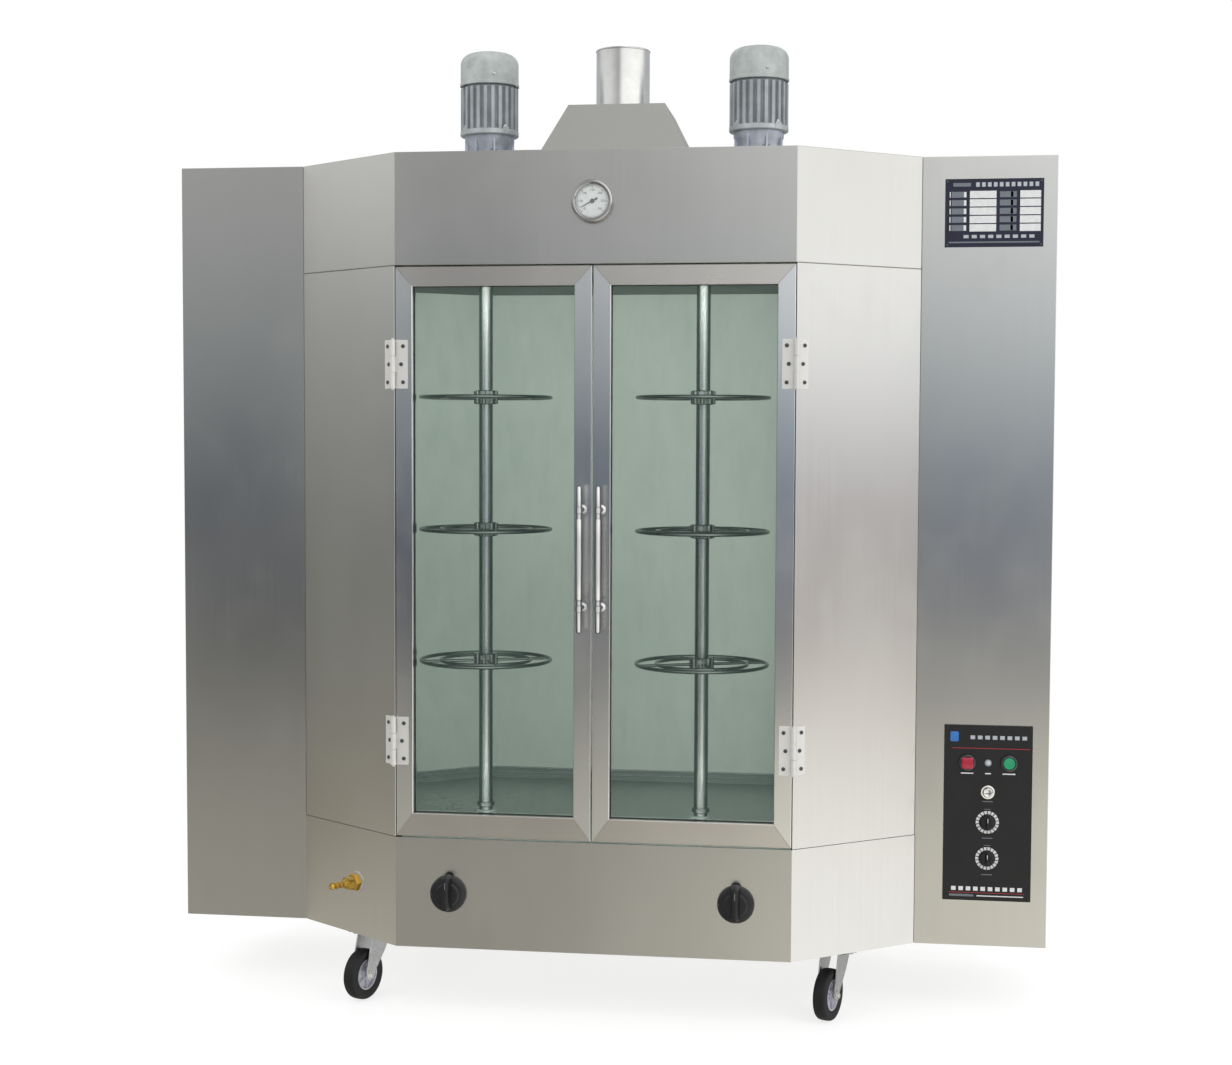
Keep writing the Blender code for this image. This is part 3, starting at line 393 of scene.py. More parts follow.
def zinc(name):
    """Zinc plate: pale blue-grey steel with faint crystals."""
    look = Look(name, (0.66, 0.68, 0.71), 1.0)
    crystal = look.node("TexVoronoi", Vector=look.where, Scale=260.0).outputs["Color"]
    patch = look.noise((40, 40, 40), 4.0)
    value = look.node("RGBToBW", Color=crystal).outputs[0]
    shade = look.blend(look.spread(value, 0, 1, 0.1, 0.9), (0.56, 0.58, 0.61), (0.74, 0.75, 0.77))
    look.set("Base Color", look.blend(look.spread(patch, 0, 0.35), shade, (0.5, 0.49, 0.46)))
    look.set("Roughness", look.spread(look.sum(value, patch), 0.25, 0.45, 0.4, 1.4))
    look.bump(patch, 0.0002, 0.3)
    return look.material


def pane(name, colour, low, high, rough=0.03):
    """Clear glass with a tint, a brighter sheen at grazing angles and faint smears."""
    look = Look(name, colour, 0.0, rough)
    look.set("IOR", 1.5)
    edge = look.node("Fresnel", IOR=1.5).outputs[0]
    smear = look.noise((9, 9, 4), 5.0, 0.6)
    grease = look.noise((55, 55, 14), 4.0, 0.6)
    film = look.sum(look.spread(smear, 0, 0.05, 0.4, 0.7), look.spread(grease, 0, 0.02, 0.5, 0.75))
    alpha = look.sum(look.spread(edge, low, high, 0.04, 0.8), film)
    look.set("Alpha", alpha)
    look.set("Roughness", look.spread(smear, rough, rough + 0.05, 0.4, 0.7))
    return look.material


def printed(name, colour, rough=0.5):
    """Screen print: an even colour that is slightly thin in places."""
    look = Look(name, colour, 0.0, rough)
    speck = look.noise((900, 900, 900), 2.0)
    thin = look.noise((120, 120, 120), 3.0)
    share = look.spread(look.sum(speck, thin), 0, 1, 0.7, 1.1)
    look.set("Base Color", look.blend(share, scaled(colour, 0.84), colour))
    look.bump(speck, 0.00003, 0.3)
    return look.material


LOOKS = {
    "sheet": brushed("brushed_sheet"),
    "stile": brushed("brushed_stile", (0.96, 0.96, 0.95), "z", (0.16, 0.24)),
    "rail": brushed("brushed_rail", (0.86, 0.82, 0.77), "x", (0.2, 0.3)),
    "hood": satin("hood_sheet", (0.43, 0.43, 0.41), 0.85, (0.34, 0.44)),
    "tray": satin("tray_sheet", (0.3, 0.35, 0.33), 0.7, (0.25, 0.38)),
    "pipe": polished("polished_pipe", (0.78, 0.78, 0.77), (0.24, 0.28), (70, 70, 0.5)),
    "bright": polished("polished_bar"),
    # The spit, the handle bar, the ring rods and the gauge rim take a painted bright centre and a
    # painted dark edge colour.
    "spit": painted_sheen("polished_spit", (0.8, 0.84, 0.82), (0.035, 0.055, 0.05), (0.16, 0.26), 0.9),
    "bar": painted_sheen("bar_steel", (0.84, 0.84, 0.82), (0.1, 0.1, 0.11), (0.18, 0.28), 0.55),
    # The ring rods are painted dark green-grey: a painted dark reflection of the unlit cabin round
    # them, besides the painted bright centre.
    "rod": painted_sheen("rod_steel", (0.36, 0.41, 0.38), (0.006, 0.011, 0.009), (0.15, 0.28), 0.7),
    "hinge": satin("hinge_steel", (0.7, 0.69, 0.66), 0.45, (0.3, 0.42)),
    "chrome": polished("chrome_rim", (0.85, 0.85, 0.86), (0.05, 0.12), (60, 60, 60)),
    # Painted reflection: a bright face and painted darker edges on the gauge rim.
    "rim": painted_sheen("gauge_rim", (0.62, 0.6, 0.6), (0.3, 0.3, 0.29), (0.12, 0.22)),
    "casing": cast("motor_casing", (0.34, 0.37, 0.385), (0.3, 0.44), 0.2),
    "core": cast("motor_core", (0.24, 0.265, 0.28), (0.5, 0.65), 0.2),
    "neck": cast("motor_neck", (0.46, 0.49, 0.56), (0.28, 0.42), 0.6),
    "shield": cast("motor_shield", (0.46, 0.49, 0.5), (0.3, 0.45), 0.4),
    "cowl": cast("motor_cowl", (0.38, 0.41, 0.395), (0.24, 0.34), 0.0, 500.0, 0.2),
    "case": cast("dark_case", (0.06, 0.065, 0.07), (0.45, 0.6)),
    "black": cast("black_plastic", (0.006, 0.006, 0.008), (0.34, 0.5), 0.0, 300.0),
    # Near-black: the door glass seal's own colour, and painted shade in the screws' cross recesses.
    "dark": cast("recess_shade_and_seal", (0.02, 0.02, 0.022), (0.6, 0.75)),
    "brass": polished("brass", (0.62, 0.38, 0.075), (0.16, 0.3), (260, 260, 260)),
    "needle": cast("needle_black", (0.02, 0.02, 0.025), (0.35, 0.5)),
    "panel": cast("panel_black", (0.005, 0.005, 0.006), (0.38, 0.5), 0.0, 700.0),
    "red": cast("red_button", (0.38, 0.012, 0.035), (0.2, 0.32), 0.0, 300.0, 0.3),
    "green": cast("green_button", (0.01, 0.29, 0.12), (0.2, 0.32), 0.0, 300.0, 0.3),
    "lamp": cast("lamp_lens", (0.48, 0.5, 0.52), (0.1, 0.2), 0.0, 300.0, 0.5),
    "plate": cast("plate_blue", (0.007, 0.008, 0.024), (0.4, 0.55), 0.0, 600.0),
    "zinc": zinc("zinc"),
    "bezel": cast("bezel_dark", (0.1, 0.1, 0.11), (0.25, 0.4), 0.9),
    "tyre": cast("tyre_black", (0.004, 0.004, 0.005), (0.5, 0.7), 0.0, 500.0),
    "wheel": cast("wheel_core", (0.5, 0.5, 0.56), (0.35, 0.5), 0.2),
    # Painted shade: the cabin ceiling is coloured near-black for the dark strip under the roof.
    "shade": satin("ceiling_painted_shade", (0.035, 0.055, 0.05)),
    "faded": printed("print_faded", (0.38, 0.4, 0.43)),
    "label": printed("plate_label", (0.13, 0.15, 0.17)),
    "emblem": cast("plain_blue", (0.03, 0.16, 0.45), (0.3, 0.4)),
    "iron": cast("burner_iron", (0.36, 0.34, 0.31), (0.35, 0.55), 0.9, 260.0),
    "liner": satin("liner_sheet", (0.6, 0.67, 0.61)),
    # Painted shade: the darker band at the foot of the cabin wall.
    "skirt": satin("skirting_painted_shade", (0.26, 0.31, 0.29), 0.5, (0.3, 0.44)),
    "dial": printed("dial_white", (0.86, 0.86, 0.84)),
    "white": printed("print_white", (0.62, 0.62, 0.62)),
    "redline": printed("print_red", (0.32, 0.02, 0.03)),
    "ink": printed("print_black", (0.02, 0.02, 0.02)),
    "glass": pane("door_glass", (0.22, 0.31, 0.28), 0.07, 0.75),
    "lens": pane("gauge_lens", (0.8, 0.85, 0.85), 0.05, 0.6),
}


def dress_cad():
    """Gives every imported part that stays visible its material."""
    kinds = {
        "sheet": ("cabin_wall", "roof_fascia", "base_cabinet", "left_side_box", "right_side_box"),
        # The cabin ceiling takes the painted-shade look.
        "shade": ("cabin_ceiling",),
        "hood": ("flue_hood",),
        "tray": ("drip_tray",),
        "panel": ("control_panel",),
        "plate": ("rating_plate",),
        "glass": ("left_door_glass", "right_door_glass"),
        "case": ("left_chain_case", "right_chain_case"),
        "iron": ("left_burner", "right_burner"),
    }
    kinds = {node: kind for kind, nodes in kinds.items() for node in nodes}
    for node, obj in frame["nodes"].items():
        kind = kinds.get(node, "hinge" if "hinge" in node else "bright")
        obj.data.materials.clear()
        obj.data.materials.append(LOOKS[kind])


# ---------- The cabin's plan ----------
def octagon_corner(inset, which):
    """A right-hand front corner of the plan, with every side moved inward."""
    if which == "front":
        return HALF_FRONT - inset * math.tan(PANEL_ANGLE / 2), FRONT_Y + inset
    return HALF_CABIN - inset, FRONT_Y + CORNER_DEPTH + inset * math.tan(SIDE_ANGLE / 2)


def octagon(inset):
    """The cabin's plan, from the right end of its front and anticlockwise, moved inward."""
    right = [octagon_corner(inset, "front"), octagon_corner(inset, "side")]
    right += [(x, FRONT_Y + BACK_Y - y) for x, y in reversed(right)]
    return right + [(-x, y) for x, y in reversed(right)]


def wall_line(inset):
    """The plan from one front opening's edge round the cabin to the other, moved inward."""
    ring = [Vector(corner) for corner in octagon(inset)]
    start = ring[0] + (ring[1] - ring[0]).normalized() * WALL / 4
    return [start] + ring[1:-1] + [Vector((-start.x, start.y))]


def outline_between(near, far):
    """The plan of a thin sheet round the cabin, open at the doors."""
    return wall_line(near) + wall_line(far)[::-1]


def add_rivets(liner, low, high):
    """A row of six rivets down each side of every corner of the lining."""
    edge, count, from_floor, from_top = 0.03, 6, 0.08, 0.04
    line = wall_line(WALL + LINING)
    for a, b in zip(line, line[1:]):
        along = (b - a).normalized()
        heading = math.atan2(along.x, -along.y)
        for spot in (a + along * edge, b - along * edge):
            for i in range(count):
                z = low + from_floor + i * (high - low - from_floor - from_top) / (count - 1)
                place = at(spot.x, spot.y, z) @ Matrix.Rotation(heading, 4, "Z") @ turned(90, "Y")
                liner.turn([(0, 0), (0.004, 0), (0.003, 0.0012), (0, 0.0016)], 12, place)


def make_liner():
    """The inner lining of the cabin: a thin sheet, rivets, and a dark skirting strip of painted shade
    at the wall's foot, with two beads.
    """
    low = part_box("drip_tray")[0].z + SHEET + GAP
    high = ROOF_LOW.z - GAP
    inner, outer = WALL + 0.0014, WALL + 0.0026
    liner = Shape()
    liner.prism(outline_between(WALL + GAP, WALL + LINING), low, high)
    add_rivets(liner, low, high)
    # Painted shade: a dark strip along the foot of the lining.
    liner.prism(outline_between(inner, outer), low + 0.001, low + SHADE_SKIRTING, look=1)
    for height, size in ((SHADE_SKIRTING, 0.0034), (SHADE_SKIRTING * 0.55, 0.0022)):
        bead = outline_between(outer, outer + size)
        liner.prism(bead, low + height - size, low + height, look=2)
    looks = ("liner", "skirt", "zinc")
    piece("cabin_liner", "cabin", liner, looks)


# ---------- Doors ----------
def door_member(shape, outer, inner, y_low, y_high, look):
    """One mitred frame member between two outer corners and two inner ones, in x and z."""
    slot, half, soft, step, mitre = 0.27, 0.0031, 0.03, 0.0012, 0.00035
    centre = (y_low + y_high) / 2
    front_half = [(0, y_low + step), (soft, y_low), (1 - soft, y_low), (1, y_low + step)]
    front_half += [(1, centre - half), (1 - slot, centre - half)]
    section = front_half + [(share, y_low + y_high - y) for share, y in reversed(front_half)]
    along = (Vector(outer[1]) - Vector(outer[0])).normalized() * mitre
    rows = []
    for outer_end, inner_end, sign in zip(outer, inner, (1, -1)):
        outer_end, inner_end = Vector(outer_end) + along * sign, Vector(inner_end) + along * sign
        spots = [(outer_end.lerp(inner_end, share), y) for share, y in section]
        rows.append([(spot.x, y, spot.y) for spot, y in spots])
    shape.loft(rows, look=look)


def make_door_frame(word):
    """The welded door frame of two stiles and two rails, with open mitre lines, and its seal."""
    low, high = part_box(f"{word}_door_frame")
    stile, top, bottom, seal = 0.036, 0.04, 0.048, 0.0011
    left, right, floor, head = low.x + stile, high.x - stile, low.z + bottom, high.z - top
    outer = [(low.x, low.z), (high.x, low.z), (high.x, high.z), (low.x, high.z)]
    inner = [(left, floor), (right, floor), (right, head), (left, head)]
    shape = Shape()
    for i in range(4):
        j = (i + 1) % 4
        door_member(shape, (outer[i], outer[j]), (inner[i], inner[j]), low.y, high.y, i % 2)
    piece(f"{word}_door_frame_welded", f"{word}_door", shape,
          ("rail", "stile"), [f"{word}_door_frame"])

    bead = Shape()
    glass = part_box(f"{word}_door_glass")
    inward = ((1, 1), (-1, 1), (-1, -1), (1, -1))
    for y in (glass[0].y - 0.0012, glass[1].y + 0.0012):
        rows = [[(x + a * dx, y + b, z + a * dz) for a, b in circle(seal, 8)]
                for (x, z), (dx, dz) in zip(inner, inward)]
        bead.loft(rows, closed=True)
    piece(f"{word}_door_glass_seal", f"{word}_door", bead, ("dark",))


def make_handle(word):
    """The bar handle: round bar with rounded ends, a thicker grip, and two collared posts."""
    low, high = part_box(f"{word}_door_handle")
    spot = middle(f"{word}_door_handle")
    half, grip, thin, thick, hole = (high.z - low.z) / 2, 0.08, 0.0058, 0.0074, 0.1
    y = low.y + thick
    profile = [(0, -half), (0.0035, 0.0004 - half), (0.005, 0.0016 - half), (thin, 0.004 - half)]
    profile += [(thin, -0.107), (0.007, -0.106), (0.007, -0.094), (thin, -0.093)]
    profile += [(thin, -grip - 0.004), (0.0066, -grip - 0.003), (thick, -grip), (thick, -grip * 0.5)]
    profile += [(thick + 0.0004, 0)] + [(r, -h) for r, h in reversed(profile)]
    bar = Shape().turn(profile, 32, at(spot.x, y, spot.z))
    reach = DOOR_LOW.y - y
    post = [(0, 0.0002), (0.0098, 0.0002), (0.0102, 0.001), (0.0102, 0.0035), (0.0085, 0.0048)]
    post += [(0.0052, 0.006), (0.0047, 0.01), (0.0047, reach - 0.008), (0.0056, reach - 0.004)]
    post.append((0, reach))
    for step in (-hole, hole):
        bar.turn(post, 28, front(spot.x, DOOR_LOW.y, spot.z + step))
    piece(f"{word}_door_handle_bar", f"{word}_door", bar, ("bar",),
          [f"{word}_door_handle"])


def make_hinge_screws(word, side, level):
    """Three screws in each leaf of a hinge, set zigzag."""
    radius, pitch, far, near = 0.0042, 0.037, 0.021, 0.017
    z = middle(f"{word}_{level}_hinge_door").z
    axis = Vector(JOINTS[f"{word}_door_swing"]["pos_m"])
    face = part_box(f"{word}_{level}_hinge_door")[1].y - LEAF
    looks = ("case", "dark")
    on_door, on_cabin = Shape(), Shape()
    for dz, reach in ((-pitch, far), (0.0, near), (pitch, far)):
        on_door.screw(radius, front(axis.x - side * reach, face, z + dz))
        place = at(axis.x, axis.y, z + dz) @ Matrix.Rotation(side * PANEL_ANGLE, 4, "Z")
        on_cabin.screw(radius, place @ front(side * reach, face - axis.y, 0))
    piece(f"{word}_{level}_hinge_door_screws", f"{word}_door", on_door, looks)
    piece(f"{word}_{level}_hinge_cabin_screws", "cabin", on_cabin, looks)


# ---------- Roof gear ----------
def finned(radius, depth, count):
    """The outline of a casing with thin cooling fins."""
    outline = []
    for i in range(count):
        for share, r in ((0.0, radius), (0.42, radius), (0.52, radius - depth), (0.92, radius - depth)):
            t = (i + share) * 2 * math.pi / count
            outline.append((r * math.cos(t), r * math.sin(t)))
    return outline


def make_motor(word):
    """The ribbed motor on its flanged neck, with an end shield and foot bolts."""
    cowl_low, cowl_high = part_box(f"{word}_motor_cowl")
    seat = ROOF_HIGH.z + GAP
    spot = middle(f"{word}_motor_cowl")
    place = at(spot.x, spot.y, seat)
    top = cowl_low.z - seat
    radius = (cowl_high.x - cowl_low.x) / 2
    foot, webs, fins, corner = 0.14, 8, 24, 0.082
    motor = Shape()
    motor.prism(rounded(foot, foot, 0.012), 0, 0.008, place, 2)
    neck = [(0, 0.008), (0.058, 0.008), (0.058, 0.014), (0.052, 0.02), (0.05, 0.03)]
    neck += [(0.05, 0.07), (0.053, 0.078), (0.056, 0.084), (0.056, 0.0965), (0, 0.0965)]
    motor.turn(neck, 64, place, 2)
    for i in range(webs):
        spot = place @ turned(360 / webs * (i + 0.5))
        motor.box((0.049, 0.0565), (-0.0022, 0.0022), (0.012, 0.088), spot, 2)
        if i % 2 == 0:
            motor.box((0.0495, 0.0515), (-0.009, 0.009), (0.034, 0.064), spot, 3)
    shield = [(0, 0.096), (radius - 0.003, 0.096), (radius - 0.0008, 0.098)]
    shield += [(radius - 0.0008, 0.107), (radius - 0.003, 0.109), (0, 0.109)]
    motor.turn(shield, 64, place, 4)
    motor.prism(finned(radius - 0.0015, 0.0085, fins), 0.108, top - 0.005, place, 0)
    motor.rod(radius - 0.008, 0.109, top + 0.002, 48, place, 3)
    for i in range(4):
        spot = place @ turned(45 + 90 * i)
        motor.bolt(0.01, 0.007, spot @ at(corner, 0, 0.008), 1)
        motor.box((radius - 0.006, radius), (-0.008, 0.008), (0.097, 0.113), spot, 4)
        motor.hexagon(0.008, 0, 0.004, spot @ at(radius - 0.004, 0, 0.113), 1)
    looks = ("casing", "zinc", "neck", "core", "shield")
    piece(f"{word}_motor_ribbed", "cabin", motor, looks, [f"{word}_motor"], 0.0004)


def make_cowl(word):
    """The fan cowl: a rolled rim, a quarter-round shoulder, four rings on top and three screws."""
    low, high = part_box(f"{word}_motor_cowl")
    spot = middle(f"{word}_motor_cowl")
    place = at(spot.x, spot.y, low.z)
    height, rim = high.z - low.z, (high.x - low.x) / 2
    wide, tall, steps, skin = 0.03, 0.026, 8, rim - 0.0012
    profile = [(0, 0.004), (rim - 0.004, 0.004), (rim - 0.002, 0), (rim, 0.001), (rim, 0.006)]
    profile += [(skin, 0.0075), (skin, height - tall)]
    for i in range(1, steps + 1):
        t = math.pi / 2 * i / steps
        profile.append((skin - wide * (1 - math.cos(t)), height - tall + tall * math.sin(t)))
    profile += [(0.03, height), (0.0, height)]
    cowl = Shape().turn(profile, 72, place)
    for r in (0.01, 0.016, 0.022, 0.028):
        base, crest = height - 0.001, height + 0.00002
        ring = [(r, base), (r + 0.003, base), (r + 0.003, crest), (r, crest)]
        cowl.turn(ring, 48, place, 1, closed=True)
    for i in range(3):
        spot = place @ turned(120 * i + 50) @ at(rim - 0.0013, 0, 0.02) @ turned(90, "Y")
        cowl.screw(0.0038, spot, 2)
    looks = ("cowl", "dark", "zinc")
    piece(f"{word}_motor_cowl_domed", "cabin", cowl, looks, [f"{word}_motor_cowl"])


def make_flue():
    """The flue pipe, with a rolled rim, a lap seam and a riveted foot ring."""
    low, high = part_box("flue_pipe")
    spot = middle("flue_pipe")
    foot = 0.006
    radius, height = (high.x - low.x) / 2 - foot, high.z - low.z
    bore = radius - SHEET
    place = at(spot.x, spot.y, low.z)
    profile = [(bore, 0), (radius + foot, 0), (radius + foot, 0.0026), (radius + 0.0016, 0.003)]
    profile += [(radius + 0.0004, 0.0046), (radius, 0.006), (radius, height - 0.0044)]
    profile += [(radius + 0.0012, height - 0.0034), (radius + 0.0014, height - 0.0014)]
    profile += [(radius, height), (bore + 0.0008, height), (bore, height - 0.001)]
    pipe = Shape().turn(profile, 96, place, closed=True)
    pipe.box((radius - 0.001, radius + 0.0007), (-0.005, 0.005), (0.006, height - 0.005),
             place @ turned(62))
    rivet = [(0, 0), (0.0022, 0), (0.0016, 0.001), (0, 0.0013)]
    for i in range(8):
        pipe.turn(rivet, 12, place @ turned(45 * i + 10) @ at(radius + 0.0036, 0, 0.0026))
    piece("flue_pipe_rolled", "cabin", pipe, ("pipe",), ["flue_pipe"])


def make_hood_flange():
    """The flat flange round the hood's foot, with four screws on each side."""
    low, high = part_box("flue_hood")
    spot = middle("flue_pipe")
    width, wide, thick = high.x - low.x, 0.016, 0.0014
    half = width / 2
    foot = Shape()
    for i in range(4):
        side = at(spot.x, spot.y, ROOF_HIGH.z + GAP) @ turned(90 * i)
        foot.box((-half - wide, half + wide), (-half - wide, -half + 0.0002), (0, thick), side)
        for step in (-0.42, -0.14, 0.14, 0.42):
            foot.screw(0.0034, side @ at(step * width, -half - 0.0085, thick), 0, 1)
    piece("flue_hood_flange", "cabin", foot, ("sheet", "dark"))


# ---------- Spits ----------
def make_spit(word):
    """The upright spit, with a collar and its clamp screw at the foot."""
    low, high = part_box(f"{word}_spit")
    spot = middle(f"{word}_spit")
    radius = (high.x - low.x) / 2
    spit = Shape().rod(radius, low.z, high.z, 48, at(spot.x, spot.y, 0), 0, 0.001)
    tray_sheet, bearing, clear = 0.0027, 0.052, 0.007
    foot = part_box("drip_tray")[0].z + tray_sheet + bearing + clear
    inside, outside = radius - 0.001, radius + 0.004
    collar = [(inside, 0), (outside - 0.001, 0), (outside, 0.001), (outside, 0.009)]
    collar += [(outside - 0.001, 0.01), (inside, 0.01)]
    spit.turn(collar, 40, at(spot.x, spot.y, foot), closed=True)
    spit.rod(0.003, 0, 0.006, 12, front(spot.x, spot.y - radius - 0.003, foot + 0.005))
    piece(f"{word}_spit_bar", f"{word}_spit_set", spit, ("spit",), [f"{word}_spit"])


def make_carrier(word, level):
    """A ring carrier: two rings and four spokes of rod, on a lobed hub with a clamp screw."""
    node = f"{word}_{level}_carrier"
    bar_low, bar_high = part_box(f"{word}_spit")
    bar = middle(f"{word}_spit")
    bore = (bar_high.x - bar_low.x) / 2 + GAP
    place = at(bar.x, bar.y, middle(node).z)
    outer, inner, waist, half = 0.141, 0.098, 0.0215, 0.015
    shape = Shape()
    for radius, rod in ((outer, 0.004), (inner, 0.0036)):
        shape.ring(radius, rod, 96, 12, place)
    hub = [(bore, -half), (waist, -half), (0.023, -0.0135), (0.023, 0.0135), (waist, half)]
    hub.append((bore, half))
    shape.turn(hub, 40, place, 0, closed=True)
    lobe = [(0, -0.014), (0.0042, -0.014), (0.005, -0.012)]
    lobe += [(r, -h) for r, h in reversed(lobe)]
    for i in range(8):
        shape.turn(lobe, 12, place @ turned(45 * i) @ at(waist, 0, 0))
    for i in range(4):
        shape.rod(0.0032, 0.021, outer, 12, place @ turned(23 + 90 * i) @ turned(90, "Y"))
    screw = place @ front(0, 0, 0.008)
    shape.rod(0.0034, 0.021, 0.029, 16, screw, 1)
    shape.prism(circle(0.0055, 14), 0.026, 0.0325, screw, 1)
    looks = ("rod", "spit")
    piece(f"{node}_rings", f"{word}_spit_set", shape, looks, [node])


# ---------- Fittings on the front ----------
def make_burner_knob(word):
    """The black burner knob: skirt with a lip and ticks, dished face and tapered grip."""
    spot = middle(f"{word}_burner_knob")
    place = front(spot.x, FRONT_Y, spot.z)
    skirt = [(0, -0.016), (0.0048, -0.016), (0.0048, GAP), (0.0372, GAP), (0.038, 0.0012)]
    skirt += [(0.038, 0.0065), (0.0372, 0.0088), (0.0352, 0.0108), (0.031, 0.0122)]
    skirt += [(0.0255, 0.0128), (0.0238, 0.0146), (0.0222, 0.0166), (0.015, 0.0172), (0, 0.0174)]
    knob = Shape().turn(skirt, 72, place)
    grip = [(0.01, 0.021, 0.066, 0.008), (0.018, 0.0175, 0.066, 0.0075)]
    grip += [(0.031, 0.0135, 0.063, 0.006), (0.035, 0.0115, 0.06, 0.005)]
    grip.append((0.036, 0.008, 0.056, 0.0036))
    overhang, shift = 0.009, 0.0055
    rows = []
    for height, width, length, radius in grip:
        outline = rounded(width, length + overhang, radius, 6)
        rows.append([(x, y + shift, height) for x, y in outline])
    knob.loft(rows, place)
    knob.box((-0.0006, 0.0006), (0.016, 0.03), (0.0355, 0.0362), place, 1)
    for i in range(11):
        tick = place @ turned(-60 + 30 * i)
        knob.box((-0.0005, 0.0005), (0.0335, 0.0365), (0.0092, 0.0113), tick, 1 if i == 5 else 0)
    piece(f"{word}_burner_knob_turned", f"{word}_tap", knob,
          ("black", "core"), [f"{word}_burner_knob"], 0.0003)


def make_gas_inlet():
    """The brass hose tail: a washer, a hexagon, two rings, a square body and three barbs."""
    x = -(HALF_FRONT + INLET_SHARE * (HALF_CABIN - HALF_FRONT))
    y = FRONT_Y + INLET_SHARE * CORNER_DEPTH
    place = at(x, y, middle("gas_inlet").z)
    place = place @ Matrix.Rotation(-PANEL_ANGLE, 4, "Z") @ turned(90, "X")
    washer = [(0, GAP), (0.0215, GAP), (0.022, 0.0008), (0.022, 0.0028), (0.02, 0.0036), (0, 0.0036)]
    tail = Shape().turn(washer, 40, place, 1)
    tail.rod(0.01, 0.003, 0.035, 32, place, 0, 0.001)
    tail.hexagon(0.034, 0.0045, 0.017, place)
    for height in (0.0176, 0.0198):
        tail.ring(0.0099, 0.0006, 32, 8, place @ at(0, 0, height))
    tail.prism(rounded(0.023, 0.024, 0.003, 3), 0.019, 0.032, place)
    barb = [(0, 0.03), (0.0085, 0.03), (0.0085, 0.037)]
    for z in (0.04, 0.0505, 0.061):
        barb += [(0.0056, z), (0.0058, z + 0.001), (0.0076, z + 0.0078), (0.0074, z + 0.0088)]
    barb += [(0.0058, 0.072), (0.0055, 0.074), (0.004, 0.074), (0.004, 0.05), (0, 0.05)]
    tail.turn(barb, 32, place)
    looks = ("brass", "zinc")
    inlet = piece("gas_inlet_brass", "cabin", tail, looks, ["gas_inlet"], 0.0003)
    # The steel beside it would otherwise mirror it as a smear.
    inlet.visible_glossy = False


def number(text, size, place):
    """A flat number of thin raised ink, as points and faces."""
    curve = bpy.data.curves.new("number", "FONT")
    curve.body = text
    curve.size = size
    curve.align_x = "CENTER"
    curve.align_y = "CENTER"
    curve.extrude = 0.00008
    curve.resolution_u = 3
    holder = bpy.data.objects.new("number", curve)
    mesh = bpy.data.meshes.new_from_object(holder)
    skin = bmesh.new()
    skin.from_mesh(mesh)
    bmesh.ops.remove_doubles(skin, verts=skin.verts, dist=1e-6)
    points = [v.co.copy() for v in skin.verts]
    faces = [[v.index for v in f.verts] for f in skin.faces]
    skin.free()
    bpy.data.objects.remove(holder)
    return points, faces, place


def make_gauge():
    """The thermometer: bright bezel and printed dial, needle, and a glass lens."""
    low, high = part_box("gauge_case")
    radius = (high.x - low.x) / 2
    spot = middle("gauge_case")
    place = front(spot.x, FRONT_Y, spot.z)
    dial, top = 0.0098, 0.019
    rim = [(0, -0.028), (0.0078, -0.028), (0.0078, GAP), (radius - 0.003, GAP)]
    rim += [(radius - 0.001, 0.0014), (radius - 0.001, 0.0115), (radius, 0.0125), (radius, 0.0165)]
    rim += [(radius - 0.0008, 0.0182), (radius - 0.0028, top), (radius - 0.006, 0.0186)]
    rim += [(radius - 0.0082, 0.0165), (radius - 0.0086, dial), (0.0018, dial)]
    rim += [(0.0018, dial - 0.004), (0, dial - 0.004)]
    case = Shape().turn(rim, 96, place)
    face, hole, paper = radius - 0.009, 0.0019, (dial - 0.0002, dial + 0.00015)
    disc = [(hole, paper[0]), (face, paper[0]), (face, paper[1]), (hole, paper[1])]
    case.turn(disc, 72, place, 1, closed=True)
    ink = (dial + 0.0001, dial + 0.0003)
    marks, per_number, start, sweep = 60, 10, 225, 270
    for i in range(marks + 1):
        major = i % per_number == 0
        length = 0.0068 if major else 0.0048 if i % 5 == 0 else 0.0038
        half = 0.00045 if major else 0.00022
        mark = place @ turned(start - sweep * i / marks)
        case.box((face - length, face - 0.0022), (-half, half), ink, mark, 2)
    r = face - 0.0112
    for i in range(marks // per_number + 1):
        t = math.radians(start - sweep * per_number * i / marks)
        spot = place @ at(r * math.cos(t), r * math.sin(t), ink[0] + 0.0001)
        case.add(*number(str(50 * i), 0.0064, spot), 2)
    case.ring(face - 0.0015, 0.0002, 72, 6, place @ at(0, 0, ink[0]), 2)
    looks = ("rim", "dial", "ink")
    piece("gauge_case_dial", "cabin", case, looks, ["gauge_case"])

    arm = [(0.0019, -0.012), (0.0013, -0.003), (0.001, 0.008), (0.0004, face - 0.006)]
    arm = [(-0.0019, -0.012)] + arm + [(-x, y) for x, y in reversed(arm[1:])]
    boss = [(0, dial - 0.0035), (0.0014, dial - 0.0035), (0.0014, dial + 0.0006)]
    boss += [(0.0046, dial + 0.0006), (0.0044, dial + 0.0019), (0.002, dial + 0.0024)]
    boss.append((0, dial + 0.0025))
    rest = place @ turned(118)
    needle = Shape().prism(arm, dial + 0.0009, dial + 0.0015, rest).turn(boss, 32, rest)
    piece("gauge_needle_arm", "needle", needle, ("needle",), ["gauge_needle"])

    glass = radius - 0.0084
    profile = [(0, 0.0152), (glass, 0.0144), (glass, 0.0156), (0, 0.0164)]
    piece("gauge_lens", "cabin", Shape().turn(profile, 72, place), ("lens",))


def panel_mark(shape, x, z, face, outline, look):
    """A thin printed mark on a plate's face."""
    shape.prism(outline, -0.0001, 0.00025, front(x, face, z), look)


